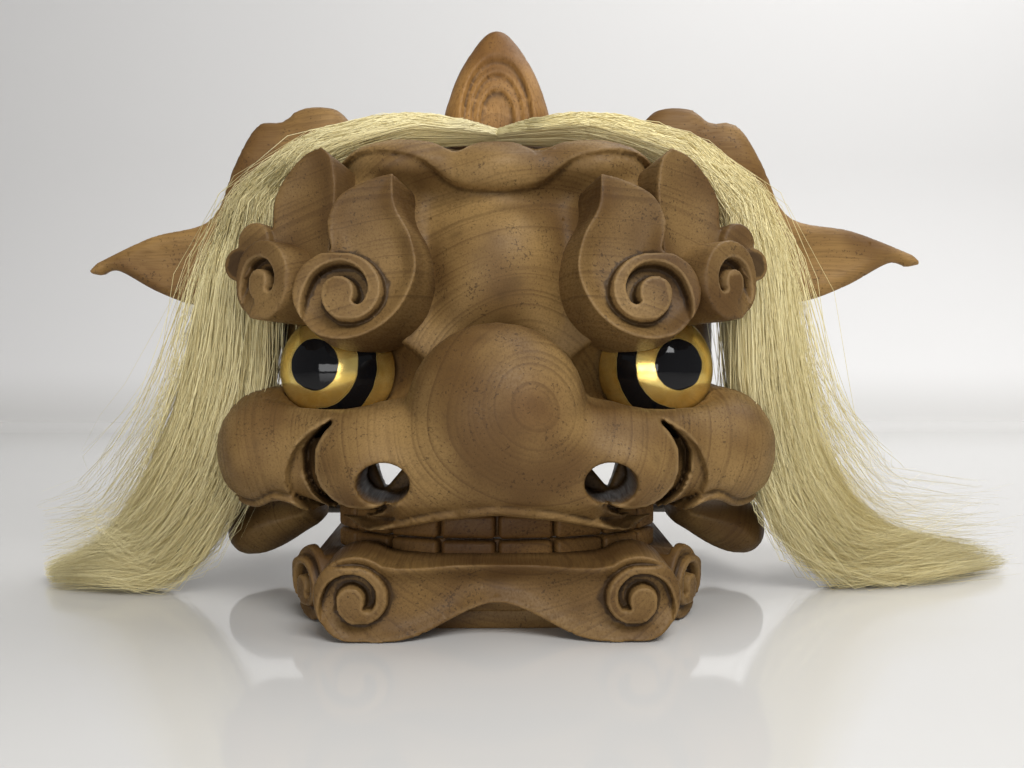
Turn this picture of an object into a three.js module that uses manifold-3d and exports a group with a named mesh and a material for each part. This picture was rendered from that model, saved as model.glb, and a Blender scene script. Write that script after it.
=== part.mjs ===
// A carved wooden lion dance head: a hollow upper head with an open back, a hinged lower jaw,
// scrolled brows, gilded eyes, wooden ears, one horn and a parted horsehair mane.
// Millimetres. -Y is the way the lion looks, +Z is up, +X is the lion's own left.
// The origin is on the floor, under the flat base of the jaw.
import * as THREE from "three";
import { mergeVertices } from "three/addons/utils/BufferGeometryUtils.js";
import Module from "manifold-3d";

const wasm = await Module();
wasm.setup();

// Driving dimensions
const WALL = 15; // carved wall of the upper head
const SEAT_GAP = 0.35; // gap between a seated piece and its seat
const BACK_Y = 140; // plane of the open back rim
const SIDE_EDGE_Z = 52; // lower edge of the head's side walls
const LIP_BACK_Y = -12; // the shaped lip edge runs back to here
const PALATE_Z = 60; // underside of the muzzle, above the teeth
const MOUTH_MARGIN = 2; // room between the teeth and the lip
const BITE_Z = 46; // where the two rows of teeth meet
const BITE_GAP = 0.4; // gap between the rows of teeth when the mouth is shut
const FLOOR_GAP = 0.5; // the mane's lowest hairs stay this far above the floor
const PARTING_X = 1; // each half of the mane starts this far from the middle
const REACH = 500; // beyond every part of the head, for planes that cut

const EYE = { x: 93, y: -35, z: 138, radius: 36, capFrom: 13 };
const NOSTRIL = { x: 60, z: 80, radius: 13, fromY: -150, toY: -40 };

const JAW = { halfWidth: 104, frontY: -102, backY: 125, wall: 15, floor: 10, rimZ: 34, trayFrontY: -58 };
const JAW_CORNER = { length: 62, pull: 48, spread: 34 }; // rounding of the jaw's front corners in plan
const HINGE = { y: 105, z: 34, pinRadius: 4, armRadius: 15, pinFromX: 90, pinToX: 126 };
const ARM = { innerX: 92, outerX: 104, baseY: 84 };

const HORN = { y: 38, baseZ: 268, tipZ: 358, pegRadius: 9 };
const EAR = { y: 42, thickness: 15, pegRadius: 6.5, pegZ: 215, pegFromX: 112, pegToX: 150 };

// Forms of the upper head: each row is a rounded solid, and a row with x above zero has a twin at -x.
// power 2 is an ellipsoid, and a higher power is squarer.
const HEAD_FORMS = [
  { form: "cranium", x: 0, y: 70, z: 150, rx: 142, ry: 143, rz: 134, power: 2.6, around: 20 },
  { form: "muzzle", x: 0, y: -52, z: 88, rx: 122, ry: 68, rz: 44, power: 2.8, around: 16 },
  { form: "nose", x: 0, y: -95, z: 115, rx: 47, ry: 46, rz: 47, power: 2, around: 16 },
  { form: "nose_bridge", x: 0, y: -58, z: 158, rx: 42, ry: 34, rz: 50, power: 2, around: 12 },
  { form: "nostril_wing", x: 70, y: -78, z: 84, rx: 36, ry: 46, rz: 31, power: 2, around: 12 },
  { form: "cheek", x: 128, y: -35, z: 90, rx: 36, ry: 50, rz: 36, power: 2.3, around: 12 },
  { form: "under_eye", x: 90, y: -50, z: 104, rx: 50, ry: 36, rz: 16, power: 2, around: 10 },
  { form: "brow_ridge", x: 84, y: -38, z: 206, rx: 46, ry: 38, rz: 44, power: 2, around: 10 },
  { form: "crown_middle", x: 0, y: -30, z: 252, rx: 36, ry: 40, rz: 16, power: 2, around: 10 },
  { form: "crown_side", x: 54, y: -28, z: 255, rx: 34, ry: 45, rz: 19, power: 2, around: 10 },
];

// The carved-out inside, open at the back and below
const HOLLOWS = [
  { form: "skull", x: 0, y: 70, z: 150, rx: 142 - WALL, ry: 106, rz: 134 - WALL, power: 2.6, around: 14 },
  { form: "palate", x: 0, y: -20, z: 75, rx: 74, ry: 46, rz: 45, power: 2.4, around: 10 },
];

// Carved recesses round the eyes
const EYE_RECESS = [{ form: "socket", x: 90, y: -62, z: 137, rx: 46, ry: 25, rz: 24, power: 2, around: 10 }];

// Lower edge of the upper lip: height of the edge at each distance from the middle
const LIP_EDGE = [
  { x: 0, z: 63 },
  { x: 30, z: 59 },
  { x: 60, z: 52 },
  { x: 85, z: 52 },
  { x: 103, z: 57 },
  { x: 123, z: 65 },
  { x: 142, z: 58 },
  { x: 170, z: 67 },
];

// Solids from three.js geometry and back
function solidFrom(geometry) {
  const plain = new THREE.BufferGeometry();
  plain.setAttribute("position", geometry.getAttribute("position"));
  plain.setIndex(geometry.index);
  const merged = mergeVertices(plain, 1e-3);
  return new wasm.Manifold(
    new wasm.Mesh({
      numProp: 3,
      vertProperties: new Float32Array(merged.attributes.position.array),
      triVerts: new Uint32Array(merged.index.array),
    }),
  );
}

function geometryFrom(solid) {
  const mesh = solid.getMesh();
  const geometry = new THREE.BufferGeometry();
  geometry.setAttribute("position", new THREE.BufferAttribute(new Float32Array(mesh.vertProperties), 3));
  geometry.setIndex(new THREE.BufferAttribute(new Uint32Array(mesh.triVerts), 1));
  geometry.computeVertexNormals();
  return geometry;
}

const joined = (solids) => solids.reduce((whole, solid) => whole.add(solid));
const cutBy = (solid, cutters) => cutters.reduce((left, cutter) => left.subtract(cutter), solid);

// A solid swollen by the seat gap along each axis, to cut its neighbours with
function swollen(solid) {
  const steps = [-SEAT_GAP, SEAT_GAP];
  return joined(
    steps.flatMap((step) => [
      solid.translate([step, 0, 0]),
      solid.translate([0, step, 0]),
      solid.translate([0, 0, step]),
    ]),
  );
}

// What is left of a piece after a cut, without loose chips
const mainBody = (solid) => solid.decompose().sort((a, b) => b.volume() - a.volume())[0];

// A rounded solid at the origin: a sphere whose points are pushed out to the given power
function roundedForm({ rx, ry, rz, power, around }, grow = 0) {
  const sphere = new THREE.SphereGeometry(1, around, Math.round(around * 0.6));
  const points = sphere.getAttribute("position");
  const point = new THREE.Vector3();
  for (let i = 0; i < points.count; i++) {
    point.fromBufferAttribute(points, i);
    const reach = Math.pow(
      Math.abs(point.x) ** power + Math.abs(point.y) ** power + Math.abs(point.z) ** power,
      -1 / power,
    );
    point.multiplyScalar(reach).multiply(new THREE.Vector3(rx + grow, ry + grow, rz + grow));
    points.setXYZ(i, point.x, point.y, point.z);
  }
  return sphere;
}

function placedForms(rows, grow = 0) {
  const solids = [];
  for (const row of rows) {
    const sides = row.x > 0 ? [1, -1] : [1];
    for (const side of sides) {
      solids.push(solidFrom(roundedForm(row, grow).translate(side * row.x, row.y, row.z)));
    }
  }
  return joined(solids);
}

function boxBetween(low, high) {
  const size = high.map((top, axis) => top - low[axis]);
  const middle = high.map((top, axis) => (top + low[axis]) / 2);
  return new THREE.BoxGeometry(...size).translate(...middle);
}

// A rod along X
function rodAlongX(radius, fromX, toX, y, z, sides = 20) {
  return new THREE.CylinderGeometry(radius, radius, toX - fromX, sides)
    .rotateZ(Math.PI / 2)
    .translate((fromX + toX) / 2, y, z);
}

// A shape drawn in X and Z, made solid from the front plane to the back plane
function frontExtrusion(shape, frontY, backY, curveSegments = 6) {
  return new THREE.ExtrudeGeometry(shape, { depth: backY - frontY, bevelEnabled: false, curveSegments })
    .rotateX(Math.PI / 2)
    .translate(0, backY, 0);
}

// A shape drawn in X and Y, made solid from the low height to the high one
function planExtrusion(shape, lowZ, highZ, curveSegments = 7) {
  return new THREE.ExtrudeGeometry(shape, { depth: highZ - lowZ, bevelEnabled: false, curveSegments })
    .translate(0, 0, lowZ);
}

// A closed tube through rings of points, capped at both ends
function loftRings(rings) {
  const sides = rings[0].length;
  const points = rings.flat();
  const faces = [];
  for (let ring = 0; ring + 1 < rings.length; ring++) {
    for (let side = 0; side < sides; side++) {
      const next = (side + 1) % sides;
      const a = ring * sides + side;
      const b = ring * sides + next;
      faces.push(a, b, b + sides, a, b + sides, a + sides);
    }
  }
  const last = (rings.length - 1) * sides;
  for (let side = 1; side + 1 < sides; side++) {
    faces.push(0, side + 1, side, last, last + side, last + side + 1);
  }
  return new THREE.BufferGeometry().setFromPoints(points).setIndex(faces);
}

// Upper head
function lipShape() {
  const side = (sign) => LIP_EDGE.map((row) => new THREE.Vector2(sign * row.x, row.z));
  const edge = new THREE.SplineCurve([...side(-1).reverse(), ...side(1).slice(1)]).getPoints(30);
  const reach = LIP_EDGE.at(-1).x;
  return new THREE.Shape([new THREE.Vector2(-reach, 0), new THREE.Vector2(reach, 0), ...edge.reverse()]);
}

function eyeSolid(grow = 0) {
  const ball = solidFrom(new THREE.SphereGeometry(EYE.radius + grow, 20, 14).rotateX(Math.PI / 2));
  const reach = EYE.radius * 2;
  const front = solidFrom(boxBetween([-reach, -reach, -reach], [reach, grow - EYE.capFrom, reach]));
  return ball.intersect(front).translate([EYE.x, EYE.y, EYE.z]);
}

function nostrilBore() {
  const { x, z, radius, fromY, toY } = NOSTRIL;
  return solidFrom(
    new THREE.CylinderGeometry(radius, radius, toY - fromY, 16).translate(x, (fromY + toY) / 2, 0),
  ).translate([0, 0, z]);
}

const mirrored = (solid) => solid.mirror([1, 0, 0]);
const bothSides = (solid) => [solid, mirrored(solid)];

function headSolid() {
  const outside = placedForms(HEAD_FORMS);
  const behind = solidFrom(boxBetween([-REACH, BACK_Y, -REACH], [REACH, REACH, REACH]));
  const underLip = solidFrom(frontExtrusion(lipShape(), -REACH, LIP_BACK_Y + 1));
  const underSides = solidFrom(boxBetween([-REACH, LIP_BACK_Y, -REACH], [REACH, REACH, SIDE_EDGE_Z]));
  const mouth = solidFrom(planExtrusion(archShape(ARCH.outer + MOUTH_MARGIN), 0, PALATE_Z));
  return cutBy(outside, [
    placedForms(HOLLOWS),
    placedForms(EYE_RECESS),
    behind,
    underLip,
    underSides,
    mouth,
    ...bothSides(eyeSolid(SEAT_GAP)),
    ...bothSides(nostrilBore()),
    ...bothSides(earPeg(SEAT_GAP)),
    hornPeg(SEAT_GAP),
  ]);
}

// Teeth: an arch-shaped bar in plan, notched between the teeth
const ARCH = { y: -28, outer: 96, depthShare: 0.7, thickness: 17 };
const NOTCH = { angle: 0.34, width: 4, depth: 9, root: 3, steps: [-3, -2, -1, 0, 1, 2, 3] };

function archShape(outer, inner = 0) {
  const shape = new THREE.Shape();
  shape.absellipse(0, ARCH.y, outer, outer * ARCH.depthShare, Math.PI, 2 * Math.PI);
  if (inner > 0) {
    shape.lineTo(inner, ARCH.y);
    shape.absellipse(0, ARCH.y, inner, outer * ARCH.depthShare - (outer - inner), 2 * Math.PI, Math.PI, true);
  }
  shape.closePath();
  return shape;
}

function teethBar(lowZ, highZ, notchLowZ, notchHighZ) {
  const bar = solidFrom(planExtrusion(archShape(ARCH.outer, ARCH.outer - ARCH.thickness), lowZ, highZ, 10));
  const half = NOTCH.width / 2;
  const notches = NOTCH.steps.map((step) => {
    const turn = step * NOTCH.angle;
    const notch = boxBetween([-half, -NOTCH.depth, notchLowZ], [half, NOTCH.depth, notchHighZ]);
    const x = Math.sin(turn) * ARCH.outer;
    const y = ARCH.y - Math.cos(turn) * ARCH.outer * ARCH.depthShare;
    return solidFrom(notch.rotateZ(turn).translate(x, y, 0));
  });
  return cutBy(bar, notches);
}

// Scrolls: a disc with a spiral channel that leaves a boss in the middle
function spiralChannel(radius, { turns = 1.35, rim = 0.2, boss = 0.3, width = 0.2, start = -2.2 }) {
  const steps = 10;
  const inner = [];
  const outer = [];
  for (let step = 0; step <= steps; step++) {
    const share = step / steps;
    const angle = start + share * turns * 2 * Math.PI;
    const middle = radius * (1 - rim - width / 2 - share * (1 - rim - width / 2 - boss));
    const half = (radius * width * (1 - 0.55 * share)) / 2;
    inner.push(new THREE.Vector2(Math.cos(angle), Math.sin(angle)).multiplyScalar(middle - half));
    outer.push(new THREE.Vector2(Math.cos(angle), Math.sin(angle)).multiplyScalar(middle + half));
  }
  return new THREE.Shape([...inner, ...outer.reverse()]);
}

// A scroll that faces +Z in its own frame, with its front at z = 0
function scrollDisc(radius, depth) {
  const disc = new THREE.CylinderGeometry(radius * 0.93, radius, depth, 16);
  return solidFrom(disc.rotateX(Math.PI / 2).translate(0, 0, -depth / 2));
}

function scrollSolid(radius, depth, channelDepth, spiral = {}) {
  const channel = new THREE.ExtrudeGeometry(spiralChannel(radius, spiral), {
    depth: channelDepth * 2,
    bevelEnabled: false,
  });
  return scrollDisc(radius, depth).subtract(solidFrom(channel.translate(0, 0, -channelDepth)));
}

// Turns a solid that faces +Z, with +Y up, to face the way the lion looks, then yaws and leans it
function facingSolid(solid, { x, y, z, yaw = 0, lean = 0 }) {
  const turn = new THREE.Matrix4()
    .makeTranslation(x, y, z)
    .multiply(new THREE.Matrix4().makeRotationZ(THREE.MathUtils.degToRad(yaw)))
    .multiply(new THREE.Matrix4().makeRotationX(THREE.MathUtils.degToRad(90 - lean)));
  return solid.transform(turn.elements);
}

// Brows: a comma-shaped leaf whose round head is a scroll
const BROWS = {
  inner: {
    place: { x: 84, y: -99, z: 182, yaw: 8, lean: 17 },
    scroll: 29,
    depth: 52,
    leaf: { tip: [-22, 69], inside: [[-34, 42], [-45, 8], [-33, -22]], outside: [[13, 36], [9, 56]] },
  },
  outer: {
    place: { x: 131, y: -70, z: 194, yaw: 34, lean: 8 },
    scroll: 21,
    depth: 46,
    leaf: { tip: [-24, 72], inside: [[-38, 46], [-40, 10], [-26, -22]], outside: [[4, 24], [-2, 46]] },
  },
};
const LEAF_STEP = 5; // the leaf's face lies this far behind the scroll's

function leafShape({ tip, inside, outside }, radius) {
  const toPoint = ([x, y]) => new THREE.Vector2(x, y);
  const shape = new THREE.Shape();
  shape.moveTo(...tip);
  shape.splineThru([...inside.map(toPoint), new THREE.Vector2(0, -radius)]);
  shape.absarc(0, 0, radius, -Math.PI / 2, Math.PI * 0.42, false);
  shape.splineThru([...outside.map(toPoint), toPoint(tip)]);
  return shape;
}

function leafPlate({ scroll, depth, leaf }) {
  const plate = new THREE.ExtrudeGeometry(leafShape(leaf, scroll), {
    depth: depth - LEAF_STEP,
    bevelEnabled: false,
    curveSegments: 3,
  });
  return solidFrom(plate.translate(0, 0, -depth));
}

const SCROLL_DEPTH = 0.8; // a brow's scroll reaches back this share of the brow's depth

function browSolid(brow) {
  const whole = leafPlate(brow).add(scrollSolid(brow.scroll, brow.depth * SCROLL_DEPTH, 8));
  return facingSolid(whole, brow.place);
}

// The same brow without its carved channel, to cut the neighbouring brow with
function browBlock(brow) {
  return facingSolid(leafPlate(brow).add(scrollDisc(brow.scroll, brow.depth * SCROLL_DEPTH)), brow.place);
}

// Horn: a pointed bud, widest a little above its foot; hw is half the width and hd half the depth
const HORN_SECTIONS = [
  { rise: 0, hw: 30, hd: 21, back: 0 },
  { rise: 0.28, hw: 35, hd: 23, back: 0 },
  { rise: 0.5, hw: 31, hd: 20, back: 3 },
  { rise: 0.7, hw: 24, hd: 15.5, back: 6 },
  { rise: 0.86, hw: 15.5, hd: 11, back: 9 },
  { rise: 0.96, hw: 8, hd: 7, back: 10 },
  { rise: 1, hw: 2.5, hd: 3, back: 11 },
];

function ringAt(middle, across, along, sides) {
  const ring = [];
  for (let side = 0; side < sides; side++) {
    const angle = (side / sides) * 2 * Math.PI;
    ring.push(
      middle
        .clone()
        .addScaledVector(across, Math.cos(angle))
        .addScaledVector(along, Math.sin(angle)),
    );
  }
  return ring;
}

function hornPeg(grow = 0) {
  const depth = WALL + 20;
  return solidFrom(
    new THREE.CylinderGeometry(HORN.pegRadius + grow, HORN.pegRadius + grow, depth, 16)
      .rotateX(Math.PI / 2)
      .translate(0, HORN.y, HORN.baseZ + depth / 2 - 4),
  );
}

function hornSolid(headGrown) {
  const rings = HORN_SECTIONS.map(({ rise, hw, hd, back }) =>
    ringAt(
      new THREE.Vector3(0, HORN.y + back, HORN.baseZ + rise * (HORN.tipZ - HORN.baseZ)),
      new THREE.Vector3(hw, 0, 0),
      new THREE.Vector3(0, hd, 0),
      14,
    ),
  );
  return mainBody(solidFrom(loftRings(rings)).subtract(headGrown)).add(hornPeg());
}

// Ear: a leaf-shaped board, drawn from the front, with two lobes above and a long tip to the side
const EAR_OUTLINE = {
  upper: [[88, 284], [103, 304], [126, 306], [140, 297], [156, 294], [172, 266], [188, 233], [226, 222]],
  tip: [[262, 205], [267, 199], [259, 197]],
  lower: [[248, 200], [222, 186], [194, 177], [160, 180], [128, 196]],
};
// The two ears differ a little: reach stretches the tip sideways and lift raises it
const EAR_SET = { left: { reach: 1.1, lift: 7 }, right: { reach: 1, lift: 0 } };
const EAR_ROOT_X = 140; // the ear is the same on both sides inside this

function earShape({ reach, lift }) {
  const toPoints = (rows) =>
    rows.map(([x, z]) => {
      const past = Math.max(0, x - EAR_ROOT_X);
      return new THREE.Vector2(x + past * (reach - 1), z + (lift * past) / EAR_ROOT_X);
    });
  const [first, ...upper] = toPoints(EAR_OUTLINE.upper);
  const [tip, ...under] = toPoints(EAR_OUTLINE.tip);
  const shape = new THREE.Shape();
  shape.moveTo(first.x, first.y);
  shape.splineThru([...upper, tip]);
  shape.splineThru(under);
  shape.splineThru(toPoints(EAR_OUTLINE.lower));
  shape.closePath();
  return shape;
}

function earPeg(grow = 0) {
  return solidFrom(rodAlongX(EAR.pegRadius + grow, EAR.pegFromX - grow, EAR.pegToX, EAR.y, EAR.pegZ, 14));
}

function earSolid(earSet, headGrown) {
  const board = frontExtrusion(earShape(earSet), EAR.y - EAR.thickness / 2, EAR.y + EAR.thickness / 2, 3);
  return mainBody(solidFrom(board).subtract(headGrown)).add(earPeg());
}

// Jowl: the flared lower corner of the head behind the cheek; each row is a section across X
const JOWL_SECTIONS = [
  { x: 107.5, y: 62, z: 43, hy: 66, hz: 20 },
  { x: 130, y: 50, z: 39, hy: 62, hz: 24 },
  { x: 150, y: 36, z: 33, hy: 46, hz: 20 },
  { x: 166, y: 26, z: 28, hy: 27, hz: 13 },
  { x: 174, y: 22, z: 26, hy: 10, hz: 6 },
];

function jowlSolid(headGrown, pinHole) {
  const rings = JOWL_SECTIONS.map(({ x, y, z, hy, hz }) =>
    ringAt(new THREE.Vector3(x, y, z), new THREE.Vector3(0, hy, 0), new THREE.Vector3(0, 0, hz), 14),
  );
  return mainBody(cutBy(solidFrom(loftRings(rings)), [headGrown, pinHole]));
}

// Lower jaw
const FRONT_SCROLL = { radius: 22.5, depth: 34, place: { x: 73, y: -130, z: 22.5, yaw: 10 } };
const SIDE_SCROLL = { radius: 20, depth: 26, place: { x: 108, y: -82, z: 20, yaw: 62 } };
const SIDE_LEAF = { tip: [-2, 32], inside: [[-10, 24], [-18, 12], [-19, -6]], outside: [[13, 16], [6, 25]] };
const JAW_LIP = { frontY: -124, backY: -96, topZ: 36, archZ: 17, archHalf: 46, reach: 88, overhang: 4 };

function jawPlan(halfWidth, frontY) {
  const { length, pull, spread } = JAW_CORNER;
  const start = frontY + length;
  const shape = new THREE.Shape();
  shape.moveTo(-halfWidth, JAW.backY);
  shape.lineTo(-halfWidth, start);
  shape.bezierCurveTo(-halfWidth, start - pull, spread - halfWidth, frontY, 0, frontY);
  shape.bezierCurveTo(halfWidth - spread, frontY, halfWidth, start - pull, halfWidth, start);
  shape.lineTo(halfWidth, JAW.backY);
  shape.closePath();
  return shape;
}

function jawLip() {
  const { frontY, backY, topZ, archZ, archHalf, reach, overhang } = JAW_LIP;
  const shape = new THREE.Shape();
  shape.moveTo(-reach, 0);
  shape.lineTo(-archHalf, 0);
  shape.bezierCurveTo(-archHalf * 0.55, 0, -archHalf * 0.5, archZ, 0, archZ);
  shape.bezierCurveTo(archHalf * 0.5, archZ, archHalf * 0.55, 0, archHalf, 0);
  shape.lineTo(reach, 0);
  shape.lineTo(reach, topZ);
  shape.lineTo(-reach, topZ);
  shape.closePath();
  const band = solidFrom(frontExtrusion(shape, frontY - overhang, backY, 5));
  return band.intersect(solidFrom(planExtrusion(jawPlan(JAW.halfWidth + overhang, frontY), 0, topZ)));
}

function jawArm() {
  const { innerX, outerX, baseY } = ARM;
  const side = new THREE.Shape();
  side.moveTo(baseY, 0);
  side.lineTo(JAW.backY - 5, 0);
  side.lineTo(HINGE.y + HINGE.armRadius, HINGE.z);
  side.absarc(HINGE.y, HINGE.z, HINGE.armRadius, 0, Math.PI, false);
  side.closePath();
  const plate = new THREE.ExtrudeGeometry(side, { depth: outerX - innerX, bevelEnabled: false, curveSegments: 8 });
  return solidFrom(plate.rotateX(Math.PI / 2).rotateZ(Math.PI / 2).translate(innerX, 0, 0));
}

function sideScroll() {
  const { radius, depth, place } = SIDE_SCROLL;
  const leaf = leafPlate({ scroll: radius, depth, leaf: SIDE_LEAF });
  return facingSolid(scrollSolid(radius, depth, 6).add(leaf), place);
}

function jawSolid(pinHole) {
  const { halfWidth, frontY, wall, floor, rimZ, trayFrontY } = JAW;
  const block = solidFrom(planExtrusion(jawPlan(halfWidth, frontY), 0, rimZ));
  const tray = solidFrom(
    planExtrusion(jawPlan(halfWidth - wall, trayFrontY), floor, rimZ + 1).translate(0, 1, 0),
  );
  const frontScroll = facingSolid(scrollSolid(FRONT_SCROLL.radius, FRONT_SCROLL.depth, 7), FRONT_SCROLL.place);
  const carved = [jawLip(), ...bothSides(frontScroll), ...bothSides(sideScroll())];
  const underFloor = solidFrom(boxBetween([-REACH, -REACH, -REACH], [REACH, REACH, 0]));
  const whole = joined([cutBy(block, [tray]), ...carved, ...bothSides(jawArm())]);
  return cutBy(whole, [underFloor, ...bothSides(pinHole)]);
}

// Mane: locks that start at the parting on the crown and fall over the side to the floor.
// Each row is a place along the fall; across is half the fall's breadth, thick half its depth, and
// turn is how far its breadth has turned, in degrees, from fore-and-aft to the side.
const MANE_LEFT = [
  { x: 2, y: -4, z: 286, across: 13, thick: 11, turn: 0 },
  { x: 45, y: -4, z: 288, across: 21, thick: 13, turn: 0 },
  { x: 92, y: -4, z: 279, across: 25, thick: 15, turn: 4 },
  { x: 130, y: -3, z: 256, across: 28, thick: 17, turn: 10 },
  { x: 155, y: 0, z: 224, across: 31, thick: 17, turn: 18 },
  { x: 168, y: 4, z: 182, across: 33, thick: 16, turn: 20 },
  { x: 178, y: 9, z: 135, across: 36, thick: 14, turn: 20 },
  { x: 190, y: 16, z: 88, across: 41, thick: 14, turn: 22 },
  { x: 212, y: 24, z: 48, across: 46, thick: 13, turn: 24 },
  { x: 244, y: 34, z: 18, across: 48, thick: 12, turn: 26 },
  { x: 292, y: 46, z: 9, across: 40, thick: 7, turn: 24 },
  { x: 340, y: 58, z: 6, across: 17, thick: 4, turn: 20 },
];
const MANE_RIGHT = [
  { x: 2, y: -4, z: 286, across: 13, thick: 11, turn: 0 },
  { x: 45, y: -4, z: 287, across: 21, thick: 13, turn: 0 },
  { x: 92, y: -4, z: 278, across: 25, thick: 15, turn: 4 },
  { x: 126, y: -3, z: 256, across: 29, thick: 17, turn: 12 },
  { x: 148, y: -1, z: 224, across: 33, thick: 18, turn: 22 },
  { x: 160, y: 2, z: 182, across: 38, thick: 18, turn: 28 },
  { x: 168, y: 5, z: 135, across: 43, thick: 17, turn: 32 },
  { x: 182, y: 8, z: 88, across: 48, thick: 16, turn: 34 },
  { x: 204, y: 8, z: 48, across: 52, thick: 14, turn: 32 },
  { x: 232, y: 4, z: 18, across: 54, thick: 12, turn: 28 },
  { x: 262, y: -2, z: 9, across: 46, thick: 7, turn: 24 },
  { x: 288, y: -8, z: 6, across: 20, thick: 4, turn: 18 },
];
const LOCKS = [-0.72, -0.24, 0.24, 0.72]; // each lock's place across the fall, as a share of its half breadth
const LOCK_BREADTH = 0.32; // half a lock's breadth, as a share of the fall's half breadth

function lockSolid(rows, sign, share) {
  const lane = new THREE.CatmullRomCurve3(rows.map(({ x, y, z }) => new THREE.Vector3(sign * x, y, z)));
  const rings = rows.map((row, index) => {
    const turn = THREE.MathUtils.degToRad(row.turn);
    const heading = lane.getTangent(index / (rows.length - 1));
    const across = new THREE.Vector3(sign * Math.sin(turn), Math.cos(turn), 0);
    across.addScaledVector(heading, -heading.dot(across)).normalize();
    const out = new THREE.Vector3().crossVectors(heading, across).normalize();
    const middle = new THREE.Vector3(sign * row.x, row.y, row.z).addScaledVector(across, share * row.across);
    return ringAt(middle, across.multiplyScalar(row.across * LOCK_BREADTH), out.multiplyScalar(row.thick), 6);
  });
  return solidFrom(loftRings(rings));
}

function maneSolid(rows, sign, cutters) {
  const floor = solidFrom(boxBetween([-REACH, -REACH, -REACH], [REACH, REACH, FLOOR_GAP]));
  const parting = solidFrom(boxBetween([-REACH, -REACH, -REACH], [PARTING_X, REACH, REACH]));
  const locks = joined(LOCKS.map((share) => lockSolid(rows, sign, share)));
  return mainBody(cutBy(locks, [floor, sign > 0 ? parting : mirrored(parting), ...cutters]));
}

// Finishes
const finish = (color, roughness, metalness = 0) => new THREE.MeshStandardMaterial({ color, roughness, metalness });
const CARVED_WOOD = finish(0x8f6a48, 0.62);
const PALE_WOOD = finish(0x9c754f, 0.6);
const GILDED = finish(0xc79a35, 0.25, 0.9);
const HAIR = finish(0xd9cfa0, 0.5);
const PIN_METAL = finish(0x77716a, 0.4, 0.9);

function piece(name, solid, material) {
  const mesh = new THREE.Mesh(geometryFrom(solid), material);
  mesh.name = name;
  return mesh;
}

// Assembly
const headGrown = placedForms(HEAD_FORMS, SEAT_GAP);
const pinHole = solidFrom(
  rodAlongX(HINGE.pinRadius + SEAT_GAP, HINGE.pinFromX - 10, HINGE.pinToX + SEAT_GAP, HINGE.y, HINGE.z, 16),
);
const pin = solidFrom(rodAlongX(HINGE.pinRadius, HINGE.pinFromX, HINGE.pinToX, HINGE.y, HINGE.z, 16));

const eyeSpace = eyeSolid(SEAT_GAP);
const innerBrow = mainBody(cutBy(browSolid(BROWS.inner), [headGrown, eyeSpace]));
const innerBrowSpace = swollen(browBlock(BROWS.inner));
const outerBrow = mainBody(cutBy(browSolid(BROWS.outer), [headGrown, eyeSpace, innerBrowSpace]));
const horn = hornSolid(headGrown);
const ears = { left: earSolid(EAR_SET.left, headGrown), right: mirrored(earSolid(EAR_SET.right, headGrown)) };

const upperHead = new THREE.Group();
upperHead.add(piece("head_shell", headSolid(), CARVED_WOOD));
const upperTeeth = teethBar(BITE_Z, PALATE_Z - SEAT_GAP, 0, PALATE_Z - NOTCH.root);
upperHead.add(piece("upper_teeth", upperTeeth, CARVED_WOOD));
upperHead.add(piece("horn", horn, PALE_WOOD));
for (const [side, place] of [["left", (solid) => solid], ["right", mirrored]]) {
  upperHead.add(piece(`eye_${side}`, place(eyeSolid()), GILDED));
  upperHead.add(piece(`brow_inner_${side}`, place(innerBrow), CARVED_WOOD));
  upperHead.add(piece(`brow_outer_${side}`, place(outerBrow), CARVED_WOOD));
  upperHead.add(piece(`ear_${side}`, ears[side], PALE_WOOD));
  upperHead.add(piece(`jowl_${side}`, place(jowlSolid(headGrown, pinHole)), CARVED_WOOD));
  upperHead.add(piece(`hinge_pin_${side}`, place(pin), PIN_METAL));
}

const jaw = new THREE.Group();
jaw.add(piece("lower_jaw", jawSolid(pinHole), CARVED_WOOD));
const lowerTeeth = teethBar(JAW.rimZ + SEAT_GAP, BITE_Z - BITE_GAP, JAW.rimZ + NOTCH.root, PALATE_Z);
jaw.add(piece("lower_teeth", lowerTeeth, CARVED_WOOD));

const manes = new THREE.Group();
const maneCutters = [headGrown, ...[horn, ears.left, ears.right, ...bothSides(outerBrow)].map(swollen)];
manes.add(piece("mane_left", maneSolid(MANE_LEFT, 1, maneCutters), HAIR));
manes.add(piece("mane_right", maneSolid(MANE_RIGHT, -1, maneCutters), HAIR));

const lionHead = new THREE.Group();
lionHead.add(upperHead, jaw, manes);

export default lionHead;
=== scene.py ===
"""The looks of a carved wooden lion dance head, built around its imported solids.

Sizes are millimetres until a mesh is made. -Y is the way the lion looks, +Z is up and +X is the
lion's own left. The carved wood flows from form to form, so it is shaped as distances on a grid,
added to and cut away as a carver would, and then skinned. Plain pieces are made with bmesh operators,
and the hair is drawn as joined strands.
"""

import math
from collections import namedtuple

import bmesh
import bpy
import numpy as np
import openvdb
from mathutils import Matrix, Vector


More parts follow.
